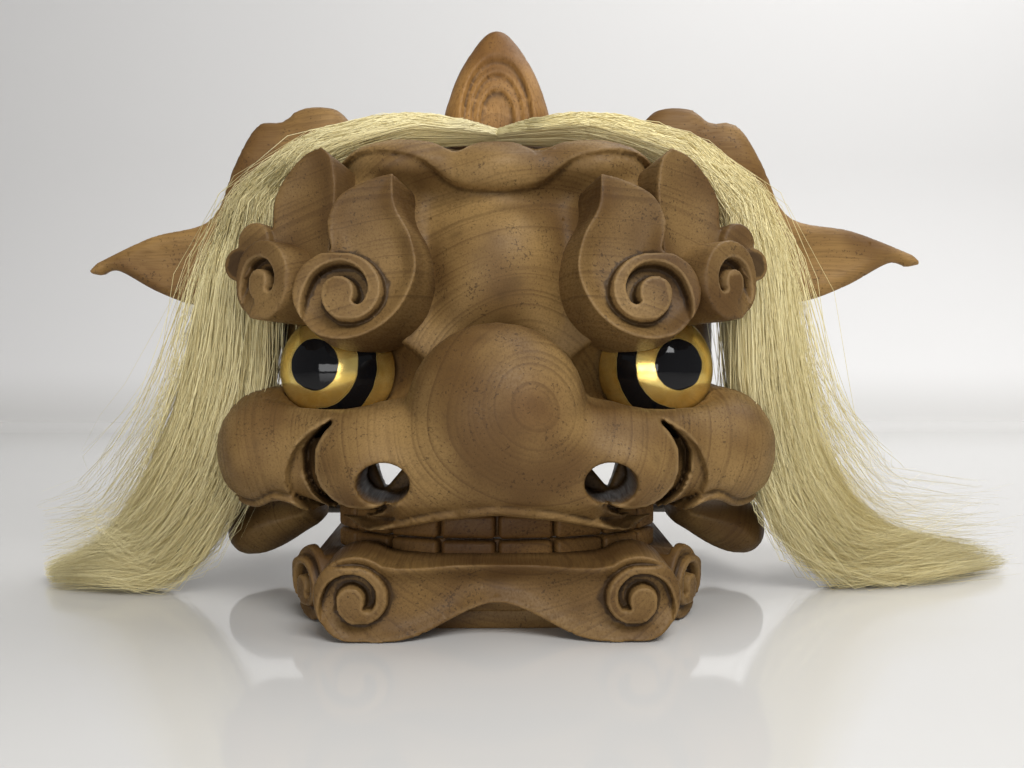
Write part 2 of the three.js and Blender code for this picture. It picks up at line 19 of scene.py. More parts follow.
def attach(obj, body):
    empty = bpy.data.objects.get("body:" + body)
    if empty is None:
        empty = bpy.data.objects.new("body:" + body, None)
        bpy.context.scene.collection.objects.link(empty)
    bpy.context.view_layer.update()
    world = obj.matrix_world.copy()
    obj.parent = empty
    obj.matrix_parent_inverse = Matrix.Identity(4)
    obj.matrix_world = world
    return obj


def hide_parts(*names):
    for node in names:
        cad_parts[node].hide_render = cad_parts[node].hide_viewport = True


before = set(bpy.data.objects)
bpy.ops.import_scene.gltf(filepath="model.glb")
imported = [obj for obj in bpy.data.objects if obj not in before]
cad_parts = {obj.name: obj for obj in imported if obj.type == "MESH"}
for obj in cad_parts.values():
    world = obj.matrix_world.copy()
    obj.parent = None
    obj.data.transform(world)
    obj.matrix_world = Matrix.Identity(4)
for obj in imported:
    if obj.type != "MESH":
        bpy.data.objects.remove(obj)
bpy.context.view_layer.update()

MM = 0.001
FAR = 60.0  # distances past this don't matter to the carving

# Grid steps of the carved pieces
HEAD_STEP = 1.5
BROW_STEP = 0.8
JAW_STEP = 0.9
EAR_STEP = 1.2
HORN_STEP = 1.2
JOWL_STEP = 1.4
FLAT_SHARE = 0.12  # how readily the faces of flat places are joined

BACK_Y = 140
SIDE_EDGE_Z = 52
LIP_BACK_Y = -12
PALATE_Z = 60
BITE_Z = 46

Form = namedtuple("Form", "name x y z rx ry rz power blend")
HEAD_FORMS = [
    Form("cranium", 0, 70, 150, 142, 143, 134, 2.6, 1),
    Form("brow_ridge", 84, -36, 206, 46, 35, 44, 2, 16),
    Form("nose_bridge", 0, -52, 195, 33, 30, 40, 2, 20),
    Form("crown_side", 56, -26, 256, 36, 42, 18, 2, 16),
    Form("crown_middle", 0, -30, 254, 36, 40, 18, 2, 22),
    Form("muzzle", 0, -52, 88, 122, 68, 44, 2.8, 12),
    Form("cheek", 128, -37, 92, 36, 50, 36, 2.2, 16),
    Form("under_eye", 92, -52, 102, 50, 36, 17, 2, 12),
    Form("nostril_wing", 66, -80, 86, 36, 44, 32, 2, 8),
]
NOSE = Form("nose", 0, -94, 117, 49.5, 47, 48.5, 2, 2.5)
NOSE_CREASE = 9  # how far the forehead falls back round the top of the nose
NOSE_MELT = 22  # how softly the nose runs into the nostril wings below
HOLLOWS = [
    Form("skull", 0, 70, 150, 127, 106, 119, 3.3, 4),
    Form("palate", 0, -20, 75, 74, 46, 45, 2.4, 6),
]
EYE_RECESS = Form("socket", 90, -62, 137, 46, 25, 24, 2, 5)
EYE_CORNER = Form("corner", 57, -97, 143, 17, 30, 23, 2, 6)
EYELID = {"x": 87, "z": 139.5, "half_width": 36, "half_height": 22, "to_y": -58}
LIP_EDGE = [(0, 63), (30, 59), (60, 52), (85, 52), (103, 57), (123, 65), (142, 58), (170, 67)]
EYE = Form("eye", 93, -35, 138, 36, 36, 36, 2, 2)
NOSTRIL = {"x": 60, "z": 80, "half_width": 14, "half_height": 11.5, "to_y": -64}
# The gap inside each nostril that opens into the hollow, as (x, z)
NOSTRIL_GAP = [(71, 88), (54, 82), (64, 70)]
NOSTRIL_GAP_REACH = {"y": -52, "half": 24}
# The crisp wave across the forehead, as (x, z) from the middle outwards
WAVE_LINE = [
    (0, 242), (16, 243), (27, 247), (35, 253), (43, 258.5), (54, 262), (72, 264), (84, 262), (100, 252)
]
# The wave behind it, where the crown steps back round a small dome in the middle
CROWN_LINE = [(0, 272), (8, 271), (15, 267.5), (23, 262.5), (30, 265.5), (38, 270.5), (50, 275), (70, 277)]
# The valley between the bridge of the nose and each brow
BROW_VALLEY = {"x": 41, "half_width": 13, "low_z": 158, "high_z": 238, "depth": 8}
# The outer edge of a nostril wing, as (x, z), and points inside the wing that close it to an outline
WING_EDGE = [
    (88, 113), (95, 106), (99.5, 97), (100, 88), (97, 78), (90, 70), (80, 65), (69, 64), (60, 66.5), (53, 70)
]
WING_INSIDE = [(45, 80), (50, 100), (70, 112)]
# The crisp outer edge of the flange round the wing
FLANGE_EDGE = [
    (92, 110), (103, 105), (112, 95), (117, 80), (113, 66), (101, 55), (81, 51), (62, 54), (50, 62)
]
WING_CUT = {"depth": 14, "slot": 7.5, "slope_share": 0.78, "step_share": 0.3}
# How deep the forehead is cut in below its wave, and above the crown's wave, and over what heights
FOREHEAD_CUT = {"cove": 4, "cove_fades": (5, 34), "step": 5, "step_fades": (12, 24), "crisp": (-0.5, 2.5)}
# The rolled rim of the lip and the groove above it: height over the lip's edge, spread and depth
LIP_ROLL = {"above": 2, "spread": 2.2, "proud": 1.6}
LIP_GROOVE = {"above": 6, "spread": 1.6, "deep": 1.8}
MOUTH_ROOF = {"half_width": 98, "y": -28, "deep": 68.6}
# The pins that the jaw turns on, and the eyes of the jaw's arms round them
PIN = {"x": 108, "y": 105, "z": 34, "radius": 4, "length": 36}
ARM_EYE = {"x": 98, "radius": 15, "length": 12}


# Shaping by distances
def ease(low, high, value):
    """A smooth step from 0 at low to 1 at high."""
    share = np.clip((value - low) / (high - low), 0, 1)
    return share * share * (3 - 2 * share)


def melt(wood, other, blend):
    """Two forms as one, with a soft valley between them."""
    near = np.maximum(blend - np.abs(wood - other), 0) / blend
    return np.minimum(wood, other) - near * near * blend / 4


def cut_away(wood, tool, blend):
    """What is left of the wood outside the tool, with softened edges."""
    return -melt(-wood, tool, blend)


def through(share, rows):
    """Smooth values through evenly spaced rows, for shares of the way from 0 to 1."""
    rows = np.asarray(rows, float)
    last = len(rows) - 1
    at = np.clip(np.asarray(share, float), 0, 1) * last
    first = np.minimum(at.astype(int), last - 1)
    part = (at - first)[..., None]
    before, start = rows[np.maximum(first - 1, 0)], rows[first]
    end, after = rows[first + 1], rows[np.minimum(first + 2, last)]
    return 0.5 * (
        2 * start
        + (end - before) * part
        + (2 * before - 5 * start + 4 * end - after) * part**2
        + (3 * start - before - 3 * end + after) * part**3
    )


def curve_through(points, steps):
    """A smooth line of points through the given ones."""
    return through(np.linspace(0, 1, steps), points)


class WoodBlock:
    """A block of wood on a grid of distances: below zero is wood."""

    def __init__(self, low, high, step):
        self.low = np.array(low, np.float32)
        self.step = step
        counts = np.ceil((np.array(high) - self.low) / step).astype(int) + 1
        axes = [self.low[axis] + step * np.arange(counts[axis], dtype=np.float32) for axis in range(3)]
        self.x, self.y, self.z = np.meshgrid(*axes, indexing="ij", sparse=True)
        self.wood = np.full(counts, FAR, np.float32)
        self.uncut = None

    def keep_uncut(self):
        """Remembers the outside before it is cut into, so that what is deep in a cut can be painted darker,
        as painted shade.
        """
        self.uncut = self.wood.copy()

    def form(self, row, side=1):
        """Distance to a rounded form."""
        spans = [
            (np.abs(self.x - side * row.x) / row.rx, row.rx),
            (np.abs(self.y - row.y) / row.ry, row.ry),
            (np.abs(self.z - row.z) / row.rz, row.rz),
        ]
        total = sum(span**row.power for span, reach in spans) + 1e-6
        slope = sum((span ** (row.power - 1) / reach) ** 2 for span, reach in spans) + 1e-9
        return (total ** (1 / row.power) - 1) / np.sqrt(slope) * total ** ((row.power - 1) / row.power)

    def add(self, distance, blend):
        self.wood = melt(self.wood, distance, blend)

    def cut(self, tool, blend):
        self.wood = cut_away(self.wood, tool, blend)

    def groove(self, line_distance, half_width, depth, blend):
        """A groove that follows the surface to a depth."""
        self.cut(np.maximum(line_distance - half_width, -(self.wood + depth)), blend)

    def skin(self, both_sides=False, soften=3):
        """Points, four-sided faces and relief of the wood's surface; relief is above zero on edges, and
        lowered deep in cuts for painted shade.
        """
        low = self.low.copy()
        wood = np.clip(self.wood, -8, 8)
        if both_sides:
            wood = np.concatenate([wood[:0:-1], wood])
            low[0] = -(self.wood.shape[0] - 1) * self.step
        for axis in range(3):
            for end in (0, -1):
                face = [slice(None)] * 3
                face[axis] = end
                wood[tuple(face)] = np.maximum(wood[tuple(face)], self.step)
        wood = np.ascontiguousarray(wood, np.float32)
        grid = openvdb.FloatGrid(FAR)
        grid.copyFromArray(wood)
        points, triangles, quads = grid.convertToPolygons(isovalue=0.0, adaptivity=FLAT_SHARE)
        soft = wood
        for _ in range(soften):
            for axis in range(3):
                soft = (np.roll(soft, 1, axis) + soft + np.roll(soft, -1, axis)) / 3
        relief = read_grid(soft, points) / (self.step * math.sqrt(soften * 2 / 3))
        if self.uncut is not None:
            uncut = np.concatenate([self.uncut[:0:-1], self.uncut]) if both_sides else self.uncut
            # Deep in a cut the relief is lowered, which gives the cut painted shade
            relief -= 0.25 * ease(5, 15, -read_grid(uncut, points))
        return Carved(points * self.step + low, triangles.astype(np.int64), quads.astype(np.int64), relief)


def read_grid(values, points):
    """Values of a grid at points between its corners."""
    corner = np.clip(points.astype(int), 0, np.array(values.shape) - 2)
    part = points - corner
    found = np.zeros(len(points), np.float32)
    for i in (0, 1):
        for j in (0, 1):
            for k in (0, 1):
                weight = np.abs(1 - i - part[:, 0]) * np.abs(1 - j - part[:, 1]) * np.abs(1 - k - part[:, 2])
                found += weight * values[corner[:, 0] + i, corner[:, 1] + j, corner[:, 2] + k]
    return found


Carved = namedtuple("Carved", "points triangles quads relief")


def placed(carved, matrix):
    """The carved piece moved to its place; a mirrored one has its faces turned."""
    grid = np.array(matrix, float)
    points = carved.points @ grid[:3, :3].T + grid[:3, 3]
    way = -1 if np.linalg.det(grid[:3, :3]) < 0 else 1
    return Carved(points, carved.triangles[:, ::way], carved.quads[:, ::way], carved.relief)


MIRROR = Matrix.Diagonal((-1, 1, 1, 1))


def facing(x, y, z, yaw=0, lean=0):
    """Place of a piece drawn with x right, y up and z towards the viewer."""
    turn = Matrix.Rotation(math.radians(yaw), 4, "Z") @ Matrix.Rotation(math.radians(90 - lean), 4, "X")
    return Matrix.Translation((x, y, z)) @ turn


def together(carved_pieces):
    """Several carved pieces as one."""
    firsts = np.cumsum([0] + [len(piece.points) for piece in carved_pieces])
    return Carved(
        np.concatenate([piece.points for piece in carved_pieces]),
        np.concatenate([piece.triangles + first for piece, first in zip(carved_pieces, firsts)]),
        np.concatenate([piece.quads + first for piece, first in zip(carved_pieces, firsts)]),
        np.concatenate([piece.relief for piece in carved_pieces]),
    )


def new_object(name, mesh, material, body, nodes=()):
    piece = bpy.data.objects.new(name, mesh)
    bpy.context.scene.collection.objects.link(piece)
    mesh.materials.append(material)
    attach(piece, body)
    if nodes:
        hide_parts(*nodes)
    return piece


def mesh_from_arrays(name, points, triangles, quads):
    """A mesh from points in millimetres and the corners of its three-sided and four-sided faces."""
    corners = np.concatenate([triangles.ravel(), quads.ravel()])
    starts = np.concatenate([np.arange(len(triangles)) * 3, triangles.size + np.arange(len(quads)) * 4])
    mesh = bpy.data.meshes.new(name)
    mesh.vertices.add(len(points))
    mesh.vertices.foreach_set("co", np.ascontiguousarray(points * MM, np.float32).ravel())
    mesh.loops.add(len(corners))
    mesh.loops.foreach_set("vertex_index", np.ascontiguousarray(corners, np.int32))
    mesh.polygons.add(len(starts))
    mesh.polygons.foreach_set("loop_start", np.ascontiguousarray(starts, np.int32))
    mesh.update(calc_edges=True)
    mesh.validate()
    mesh.shade_smooth()
    return mesh


def note_points(mesh, name, values):
    """Keeps one value for each point of a mesh, for its material to read."""
    noted = mesh.attributes.new(name, "FLOAT", "POINT")
    noted.data.foreach_set("value", np.ascontiguousarray(values, np.float32))


def carved_piece(name, carved, material, body, nodes):
    mesh = mesh_from_arrays(name, carved.points, carved.triangles, carved.quads)
    note_points(mesh, "relief", np.clip(carved.relief, -1, 1))
    return new_object(name, mesh, material, body, nodes)


def bmesh_piece(name, bm, material, body, nodes=()):
    bmesh.ops.recalc_face_normals(bm, faces=bm.faces)
    bmesh.ops.transform(bm, matrix=Matrix.Scale(MM, 4), verts=bm.verts)
    mesh = bpy.data.meshes.new(name)
    bm.to_mesh(mesh)
    bm.free()
    mesh.shade_smooth()
    return new_object(name, mesh, material, body, nodes)


# Outlines
def to_segment(u, v, start, end):
    """Square of the distance to a straight piece of a line, and how far along it the nearest place is."""
    du, dv = end[0] - start[0], end[1] - start[1]
    share = np.clip(((u - start[0]) * du + (v - start[1]) * dv) / (du * du + dv * dv + 1e-9), 0, 1)
    return (u - start[0] - share * du) ** 2 + (v - start[1] - share * dv) ** 2, share


def outline_distance(u, v, outline):
    """Distance to a closed outline, below zero inside it."""
    shape = np.broadcast(u, v).shape
    nearest = np.full(shape, 1e9, np.float32)
    inside = np.zeros(shape, bool)
    for start, end in zip(outline, np.roll(outline, -1, 0)):
        nearest = np.minimum(nearest, to_segment(u, v, start, end)[0])
        rise = end[1] - start[1]
        slant = (end[0] - start[0]) / rise if abs(rise) > 1e-9 else 0
        inside ^= ((start[1] > v) != (end[1] > v)) & (u < slant * (v - start[1]) + start[0])
    return np.where(inside, -1, 1) * np.sqrt(nearest)


def line_distance(u, v, line):
    """Distance to an open line of points, and how far along it the nearest place is, from 0 to 1."""
    nearest = np.full(np.broadcast(u, v).shape, 1e9, np.float32)
    along = np.zeros(nearest.shape, np.float32)
    for index, (start, end) in enumerate(zip(line[:-1], line[1:])):
        gap, share = to_segment(u, v, start, end)
        closer = gap < nearest
        nearest = np.where(closer, gap, nearest)
        along = np.where(closer, (index + share) / (len(line) - 1), along)
    return np.sqrt(nearest), along


def oval(u, v, hole):
    """How far outside an oval a place lies, as a share of the oval's size."""
    return np.hypot((u - hole["x"]) / hole["half_width"], (v - hole["z"]) / hole["half_height"]) - 1


def bell(value, spread):
    """1 at nothing, falling away smoothly to both sides."""
    return np.exp(-((value / spread) ** 2))


# The upper head
def height_on(line, x, steps=60):
    """Height of a line of (x, z) points over each x."""
    line = curve_through(line, steps)
    return np.interp(x, line[:, 0], line[:, 1])


def carve_head():
    block = WoodBlock((0, -148, 40), (174, 148, 292), HEAD_STEP)
    x, y, z = block.x, block.y, block.z
    for row in HEAD_FORMS:
        block.add(block.form(row), row.blend)

    # The crisp wave across the forehead: a cove below it and a shelf that leans back above it
    below = height_on(WAVE_LINE, x) - z
    crisp = FOREHEAD_CUT["crisp"]
    cove = FOREHEAD_CUT["cove"] * ease(*crisp, below) * (1 - ease(*FOREHEAD_CUT["cove_fades"], below))
    above = z - height_on(CROWN_LINE, x)
    step_back = FOREHEAD_CUT["step"] * ease(*crisp, above) * (1 - ease(*FOREHEAD_CUT["step_fades"], above))
    forehead = (1 - ease(-8, 26, y)) * (1 - ease(86, 104, x))
    valley = bell(x - BROW_VALLEY["x"], BROW_VALLEY["half_width"])
    valley = valley * ease(-14, 14, z - BROW_VALLEY["low_z"]) * ease(-14, 14, BROW_VALLEY["high_z"] - z)
    block.wood += (cove + step_back + BROW_VALLEY["depth"] * valley) * forehead
    # The rolled rim along the lip and under the cheek, with a fine groove above it
    lip = height_on(LIP_EDGE, x, 80)
    roll = LIP_ROLL["proud"] * bell(z - lip - LIP_ROLL["above"], LIP_ROLL["spread"])
    groove = LIP_GROOVE["deep"] * bell(z - lip - LIP_GROOVE["above"], LIP_GROOVE["spread"])
    block.wood -= (roll - groove) * (1 - ease(-20, 5, y))

    # Recesses round the eyes and the seats of the eyes
    block.cut(block.form(EYE_RECESS), EYE_RECESS.blend)
    lid = oval(x, z, EYELID) * EYELID["half_height"]
    block.cut(np.maximum(lid, y - EYELID["to_y"]), 5)
    block.cut(np.maximum(block.form(EYE) - 0.5, y + 46), 1)
    block.cut(block.form(EYE_CORNER), EYE_CORNER.blend)
    # The forehead falls back round the nose, which stands out from it as a ball
    nose = block.form(NOSE)
    crease = NOSE_CREASE * np.exp(-np.maximum(nose, 0) / 9)
    block.wood += crease * ease(118, 138, z) * (1 - ease(-45, -30, y))
    block.add(nose, NOSE.blend + NOSE_MELT * ease(122, 98, z))
    # The outside is kept here so that the cuts below can be given painted shade
    block.keep_uncut()

    # The crescent round each nostril wing: steep on the wing's side, sloping up to the flange outside it
    wing_line = curve_through(WING_EDGE, 40)
    near, along = line_distance(x, z, wing_line)
    wing = outline_distance(x, z, np.concatenate([wing_line, np.array(WING_INSIDE, float)])) < 0
    narrowing = WING_CUT["slot"] * ease(0, 0.35, along) * (1 - ease(0.6, 1, along))
    slot = ease(narrowing + 1, narrowing, near)
    flange_line = curve_through(FLANGE_EDGE, 40)
    to_flange, _ = line_distance(x, z, flange_line)
    on_flange = outline_distance(x, z, np.concatenate([flange_line, wing_line[::-1]])) < 0
    rise = to_flange / (to_flange + near + 0.01)
    stepped = WING_CUT["step_share"] * ease(0, 1.8, to_flange) + (1 - WING_CUT["step_share"]) * rise
    slope = WING_CUT["slope_share"] * on_flange * stepped
    hollowed = np.where(wing, ease(2, 0, near), np.maximum(slot, slope))
    ends = ease(0, 0.08, along) * (1 - ease(0.86, 1, along))
    block.wood += WING_CUT["depth"] * ends * hollowed * (1 - ease(-36, -20, y))

    # Lower edge, the mouth's roof over the teeth, the nostrils, the hollow and the open back
    edge = lip + (SIDE_EDGE_Z - lip) * ease(LIP_BACK_Y - 4, LIP_BACK_Y + 4, y)
    block.cut(z - edge, 1.5)
    behind = y - MOUTH_ROOF["y"]
    arch = (np.hypot(x / MOUTH_ROOF["half_width"], behind / MOUTH_ROOF["deep"]) - 1) * 68
    block.cut(np.maximum(np.maximum(arch, z - PALATE_Z), behind), 1)
    bore = oval(x, z, NOSTRIL) * 12
    block.cut(np.maximum(bore, y - NOSTRIL["to_y"]), 2)
    gap = outline_distance(x, z, np.array(NOSTRIL_GAP, float))
    block.cut(np.maximum(gap, np.abs(y - NOSTRIL_GAP_REACH["y"]) - NOSTRIL_GAP_REACH["half"]), 0.5)
    for row in HOLLOWS:
        block.cut(block.form(row), row.blend)
    block.cut(BACK_Y - y, 3)
    return block.skin(both_sides=True, soften=2)


# Curls: a spiral ridge that leaves the leaf's rim and winds once round into a flat, round boss.
# Each row is a place round the curl, in turns: the outer and inner edge of the ridge and how far the boss's
# root, where the ridge runs into it, reaches, as shares of the curl's radius.
RIDGE_ROWS = [
    (0.0, 1.25, 1.25, 0.53),
    (0.06, 1.25, 1.02, 0.51),
    (0.172, 1.2, 0.81, 0.475),
    (0.258, 1.12, 0.73, 0.4),
    (0.319, 0.98, 0.665, 0.3),
    (0.392, 0.84, 0.6, 0.2),
    (0.53, 0.78, 0.5, 0.1),
    (0.672, 0.75, 0.42, 0.1),
    (0.78, 0.67, 0.34, 0.15),
    (0.84, 0.62, 0.05, 0.4),
    (0.922, 0.56, 0.0, 0.56),
    (1.0, 0.53, 0.0, 0.53),
]
BOSS = {"radius": 0.36, "aside": 0.13}  # shares of the curl's radius
Curl = namedtuple("Curl", "radius middle leaf_level dish channel drum", defaults=[False])
CURL_START = -62  # degrees, where the ridge leaves the rim
CRISP = 0.9  # width of the slope at a carved edge


def curl_face(u, v, edge, curl):
    """Height of a curl's carved face; edge is the distance to the outline, below zero inside."""
    u, v = u - curl.middle[0], v - curl.middle[1]
    reach = np.hypot(u, v)
    turn = np.mod(np.arctan2(v, u) - math.radians(CURL_START), 2 * np.pi) / (2 * np.pi)
    outer, inner, root = (column(turn, RIDGE_ROWS, index) * curl.radius for index in (1, 2, 3))
    disc = BOSS["radius"] * curl.radius - np.hypot(u - BOSS["aside"] * curl.radius, v)
    in_boss = np.maximum(root - reach, disc)
    if curl.drum:
        outer = np.full_like(outer, 1.25 * curl.radius)
    ridge = ease(0, CRISP, outer - reach) * ease(0, CRISP, reach - inner)
    ridge = np.maximum(ridge, ease(0, CRISP, in_boss))
    ridge_top = np.where(in_boss > -0.5, 0.4, -2.5 + 2.5 * ease(0.02, 0.4, turn))
    dished = curl.dish * (1 - np.exp(-((np.minimum(edge, 0) / 6) ** 2))) * (1 - 0.6 * ease(18, 60, v))
    leaf = curl.leaf_level - dished
    in_channel = (reach < (outer + inner) / 2) * ease(0, 0.22, turn)
    floor = leaf + np.minimum(curl.channel - leaf, 0) * in_channel
    return floor + (ridge_top - floor) * ridge


def column(place, rows, index):
    """A smooth column of a table, read against its first column."""
    line = through(np.linspace(0, 1, 160), rows)
    return np.interp(place, line[:, 0], line[:, index]).astype(np.float32)


def outline_through(points, steps=110):
    """A closed outline that starts and ends at the first point, which stays sharp."""
    return curve_through([*points, points[0]], steps)[:-1]


def carve_relief(outline, face, depth, flare=0.03, inner_flare=0.0, step=BROW_STEP):
    """A block with an outline and a carved face, drawn facing z with its face near z = 0."""
    reach = max(depth * (flare + inner_flare), 0) + 4
    low, high = outline.min(0) - reach, outline.max(0) + reach
    block = WoodBlock((low[0], low[1], -depth), (high[0], high[1], 6), step)
    u, v = block.x[..., 0], block.y[..., 0]
    edge = outline_distance(u, v, outline)
    side = edge[..., None] + (flare + inner_flare * ease(5, 35, -u))[..., None] * block.z
    block.wood = cut_away(side, face(u, v, edge)[..., None] - block.z, 0.7).astype(np.float32)
    return block


def carve_curl(outline, curl, depth, **more):
    """A block whose carved face is a curl."""
    return carve_relief(outline, lambda u, v, edge: curl_face(u, v, edge, curl), depth, **more)


def ring_outline(radius, steps=64):
    sweep = np.linspace(0, 2 * np.pi, steps, endpoint=False)
    return np.stack([np.cos(sweep), np.sin(sweep)], 1) * radius


def round_eye(block, place):
    """Hollows a brow over the eye below it."""
    eye = place.inverted() @ Vector((EYE.x, EYE.y, EYE.z))
    ball = np.sqrt((block.x - eye.x) ** 2 + (block.y - eye.y) ** 2 + (block.z - eye.z) ** 2) - EYE.rx - 0.4
    block.cut(ball, 2)


INNER_BROW = {
    "place": {"x": 84, "y": -99, "z": 183, "yaw": 8, "lean": 11},
    "curl": Curl(27.8, (-1.7, -1.6), -2.5, 7, -11),
    "depth": 50,
    "outline": [
        (-25, 65), (-27, 47), (-36.5, 29), (-39.5, 9), (-29, -13), (-9, -25.5), (12, -24.5), (25, -11),
        (27.6, 2), (22.7, 13), (14.2, 19.5), (7.6, 23), (9.5, 33), (9.5, 42), (3, 54), (-13, 62),
    ],
}
OUTER_LEAF = {
    "place": {"x": 131.8, "y": -68, "z": 190.6, "yaw": 25, "lean": 6},
    "depth": 40,
    "dish": 4,
    "outline": [
        (-34, 72.5), (-41, 66), (-44.5, 52), (-45, 34), (-42, 8), (-30, -15), (-8, -23), (12, -19),
        (19, -5), (13, 8), (-2, 20), (-4, 36), (-5, 46), (-12, 58), (-23, 68.5),
    ],
    "nubs": [(5, 20, 11, 5), (13.5, 7, 9.5, 7)],
}
OUTER_SCROLL = {
    "place": {"x": 131, "y": -82, "z": 188.6, "yaw": 38, "lean": 3},
    "curl": Curl(22.2, (-1, -1), -1.5, 0, -9, True),
    "depth": 44,
}


def carve_inner_brow():
    place = facing(**INNER_BROW["place"])
    outline = outline_through(INNER_BROW["outline"])
    block = carve_curl(outline, INNER_BROW["curl"], INNER_BROW["depth"], inner_flare=0.06)
    round_eye(block, place)
    return placed(block.skin(), place)


def carve_outer_brow():
    """A leaf with two small nubs, and a scroll that stands well out from it."""

    def dished(u, v, edge):
        return OUTER_LEAF["dish"] * (bell(np.minimum(edge, 0), 9) - 1)

    place = facing(**OUTER_LEAF["place"])
    leaf = carve_relief(outline_through(OUTER_LEAF["outline"]), dished, OUTER_LEAF["depth"], -0.15)
    for u, v, radius, proud in OUTER_LEAF["nubs"]:
        nub = np.hypot(leaf.x - u, leaf.y - v) - radius
        leaf.add(cut_away(nub, proud - leaf.z, 3), 1)
    round_eye(leaf, place)
    turned = facing(**OUTER_SCROLL["place"])
    curl = OUTER_SCROLL["curl"]
    scroll = carve_curl(ring_outline(curl.radius), curl, OUTER_SCROLL["depth"])
    round_eye(scroll, turned)
    return together([placed(leaf.skin(), place), placed(scroll.skin(), turned)])


# The lower jaw
JAW = {"half_width": 104, "front_y": -106, "back_y": 125, "wall": 15, "floor": 10, "rim_z": 34, "tray_y": -58}
FRONT_SCROLL = {"x": 73, "z": 22.6, "curl": Curl(22.4, (72.4, 22), -1.5, 6.5, -9)}
# The jaw's front seen from above: it bows forward towards the scrolls
JAW_FRONT = {"y": -128, "bow": 9, "bows_between": (15, 58), "round_from": 80, "back_y": -84}
JAW_LIP_TOP = [(-34, 39), (0, 39), (20, 38.8), (39, 38.4), (55, 39)]
JAW_LIP_RIM = [(63, -0.6), (42, 2.6), (26, 9.5), (12, 16), (0, 18.5), (-16, 13), (-34, 4)]
SIDE_SCROLL = {
    "place": {"x": 108, "y": -86, "z": 20, "yaw": 58},
    "curl": Curl(19.5, (-0.5, -1), -3, 3, -8),
    "depth": 30,
    "leaf_thick": 9,
    "outline": [
        (0, 22), (-10, 19), (-19, 7), (-18, -10), (-4, -19.5), (13, -14.5), (19.5, 0), (16.5, 11), (9.5, 18)
    ],
}


def jaw_lip_outline():
    """Outline of the jaw seen from the front: the lip, round one scroll and back along the rolled rim."""
    middle, radius = (FRONT_SCROLL["x"], FRONT_SCROLL["z"]), FRONT_SCROLL["curl"].radius
    sweep = np.radians(np.linspace(128, -84, 40))
    scroll = np.stack([np.cos(sweep), np.sin(sweep)], 1) * radius + middle
    return np.concatenate([curve_through(JAW_LIP_TOP, 16)[:-1], scroll, curve_through(JAW_LIP_RIM, 24)[1:]])


def carve_jaw_lip():
    block = WoodBlock((0, -146, -3), (104, -78, 50), JAW_STEP)
    x, y, z = block.x, block.y, block.z
    edge = outline_distance(x[:, 0], z[0], jaw_lip_outline())
    face = curl_face(x[:, 0], z[0], edge, FRONT_SCROLL["curl"])
    bow = JAW_FRONT["bow"] * ease(*JAW_FRONT["bows_between"], x)
    plan = JAW_FRONT["y"] - bow + 0.02 * np.maximum(x - JAW_FRONT["round_from"], 0) ** 2
    front = plan - face[:, None]
    board = np.broadcast_to(edge[:, None], block.wood.shape)
    block.wood = cut_away(board, y - front, 1.3).astype(np.float32)
    block.cut(z - 0.3, 0.6)
    block.cut(JAW_FRONT["back_y"] - y, 2)
    return block.skin(both_sides=True)


def carve_side_scroll():
    outline = outline_through(SIDE_SCROLL["outline"], 60)
    block = carve_curl(outline, SIDE_SCROLL["curl"], SIDE_SCROLL["depth"], step=1.0)
    block.cut(np.maximum(17 - block.y, block.z + SIDE_SCROLL["leaf_thick"]), 1.5)
    return placed(block.skin(), facing(**SIDE_SCROLL["place"]))


def plan_curve(half_width, front_y, back_y, steps=40):
    """The jaw's outline seen from above: along one side, round the front and back along the other."""
    sweep = np.linspace(0, np.pi, steps)
    across = -np.cos(sweep)
    deep = np.sin(sweep)
    x = np.sign(across) * np.abs(across) ** 0.62 * half_width
    y = front_y + 62 * (1 - deep**0.62)
    return [(-half_width, back_y), *zip(x, y), (half_width, back_y)]


def soften_edges(bm, edges, width, segments=2):
    bmesh.ops.bevel(
        bm, geom=list(edges), offset=width, segments=segments, profile=0.5, affect="EDGES", material=-1
    )


def add_rod(bm, x, radius, length, segments):
    """A rod across the head, on the line of the pins."""
    place = Matrix.Translation((x, PIN["y"], PIN["z"])) @ Matrix.Rotation(math.pi / 2, 4, "Y")
    sizes = {"radius1": radius, "radius2": radius, "depth": length}
    return bmesh.ops.create_cone(bm, cap_ends=True, segments=segments, matrix=place, **sizes)["verts"]


def add_plate(bm, outline, low_z, high_z, bevel=1.2):
    """A plate with the given outline, from one height to another."""
    verts = [bm.verts.new((x, y, low_z)) for x, y in outline]
    face = bm.faces.new(verts)
    raised = bmesh.ops.extrude_face_region(bm, geom=[face])["geom"]
    top = [part for part in raised if isinstance(part, bmesh.types.BMVert)]
    bmesh.ops.translate(bm, verts=top, vec=(0, 0, high_z - low_z))
    made = {corner for vert in top for side in vert.link_faces for corner in side.edges}
    rims = [edge for edge in made if edge.is_valid and abs(edge.verts[0].co.z - edge.verts[1].co.z) < 1e-4]
    soften_edges(bm, rims, bevel)


def jaw_tray():
    """The jaw's floor and walls, open behind, and the arms that carry the pins."""
    bm = bmesh.new()
    half, wall, back = JAW["half_width"], JAW["wall"], JAW["back_y"]
    outer = plan_curve(half, JAW["front_y"], back)
    inner = plan_curve(half - wall, JAW["tray_y"], back)
    add_plate(bm, outer, 0, JAW["floor"] + 0.5)
    add_plate(bm, outer + inner[::-1], JAW["floor"] - 0.5, JAW["rim_z"])
    for side in (-1, 1):
        made = add_rod(bm, side * ARM_EYE["x"], ARM_EYE["radius"], ARM_EYE["length"], 32)
        around = {edge for vert in made for edge in vert.link_edges}
        soften_edges(bm, [edge for edge in around if any(len(f.verts) > 4 for f in edge.link_faces)], 1.2)
    return bm


# Teeth
TOOTH_GAP = 2.4
TEETH_A_SIDE = 4
ARCH = {"y": -28, "outer": 96, "depth_share": 0.7, "angle": 0.34, "thickness": 17}


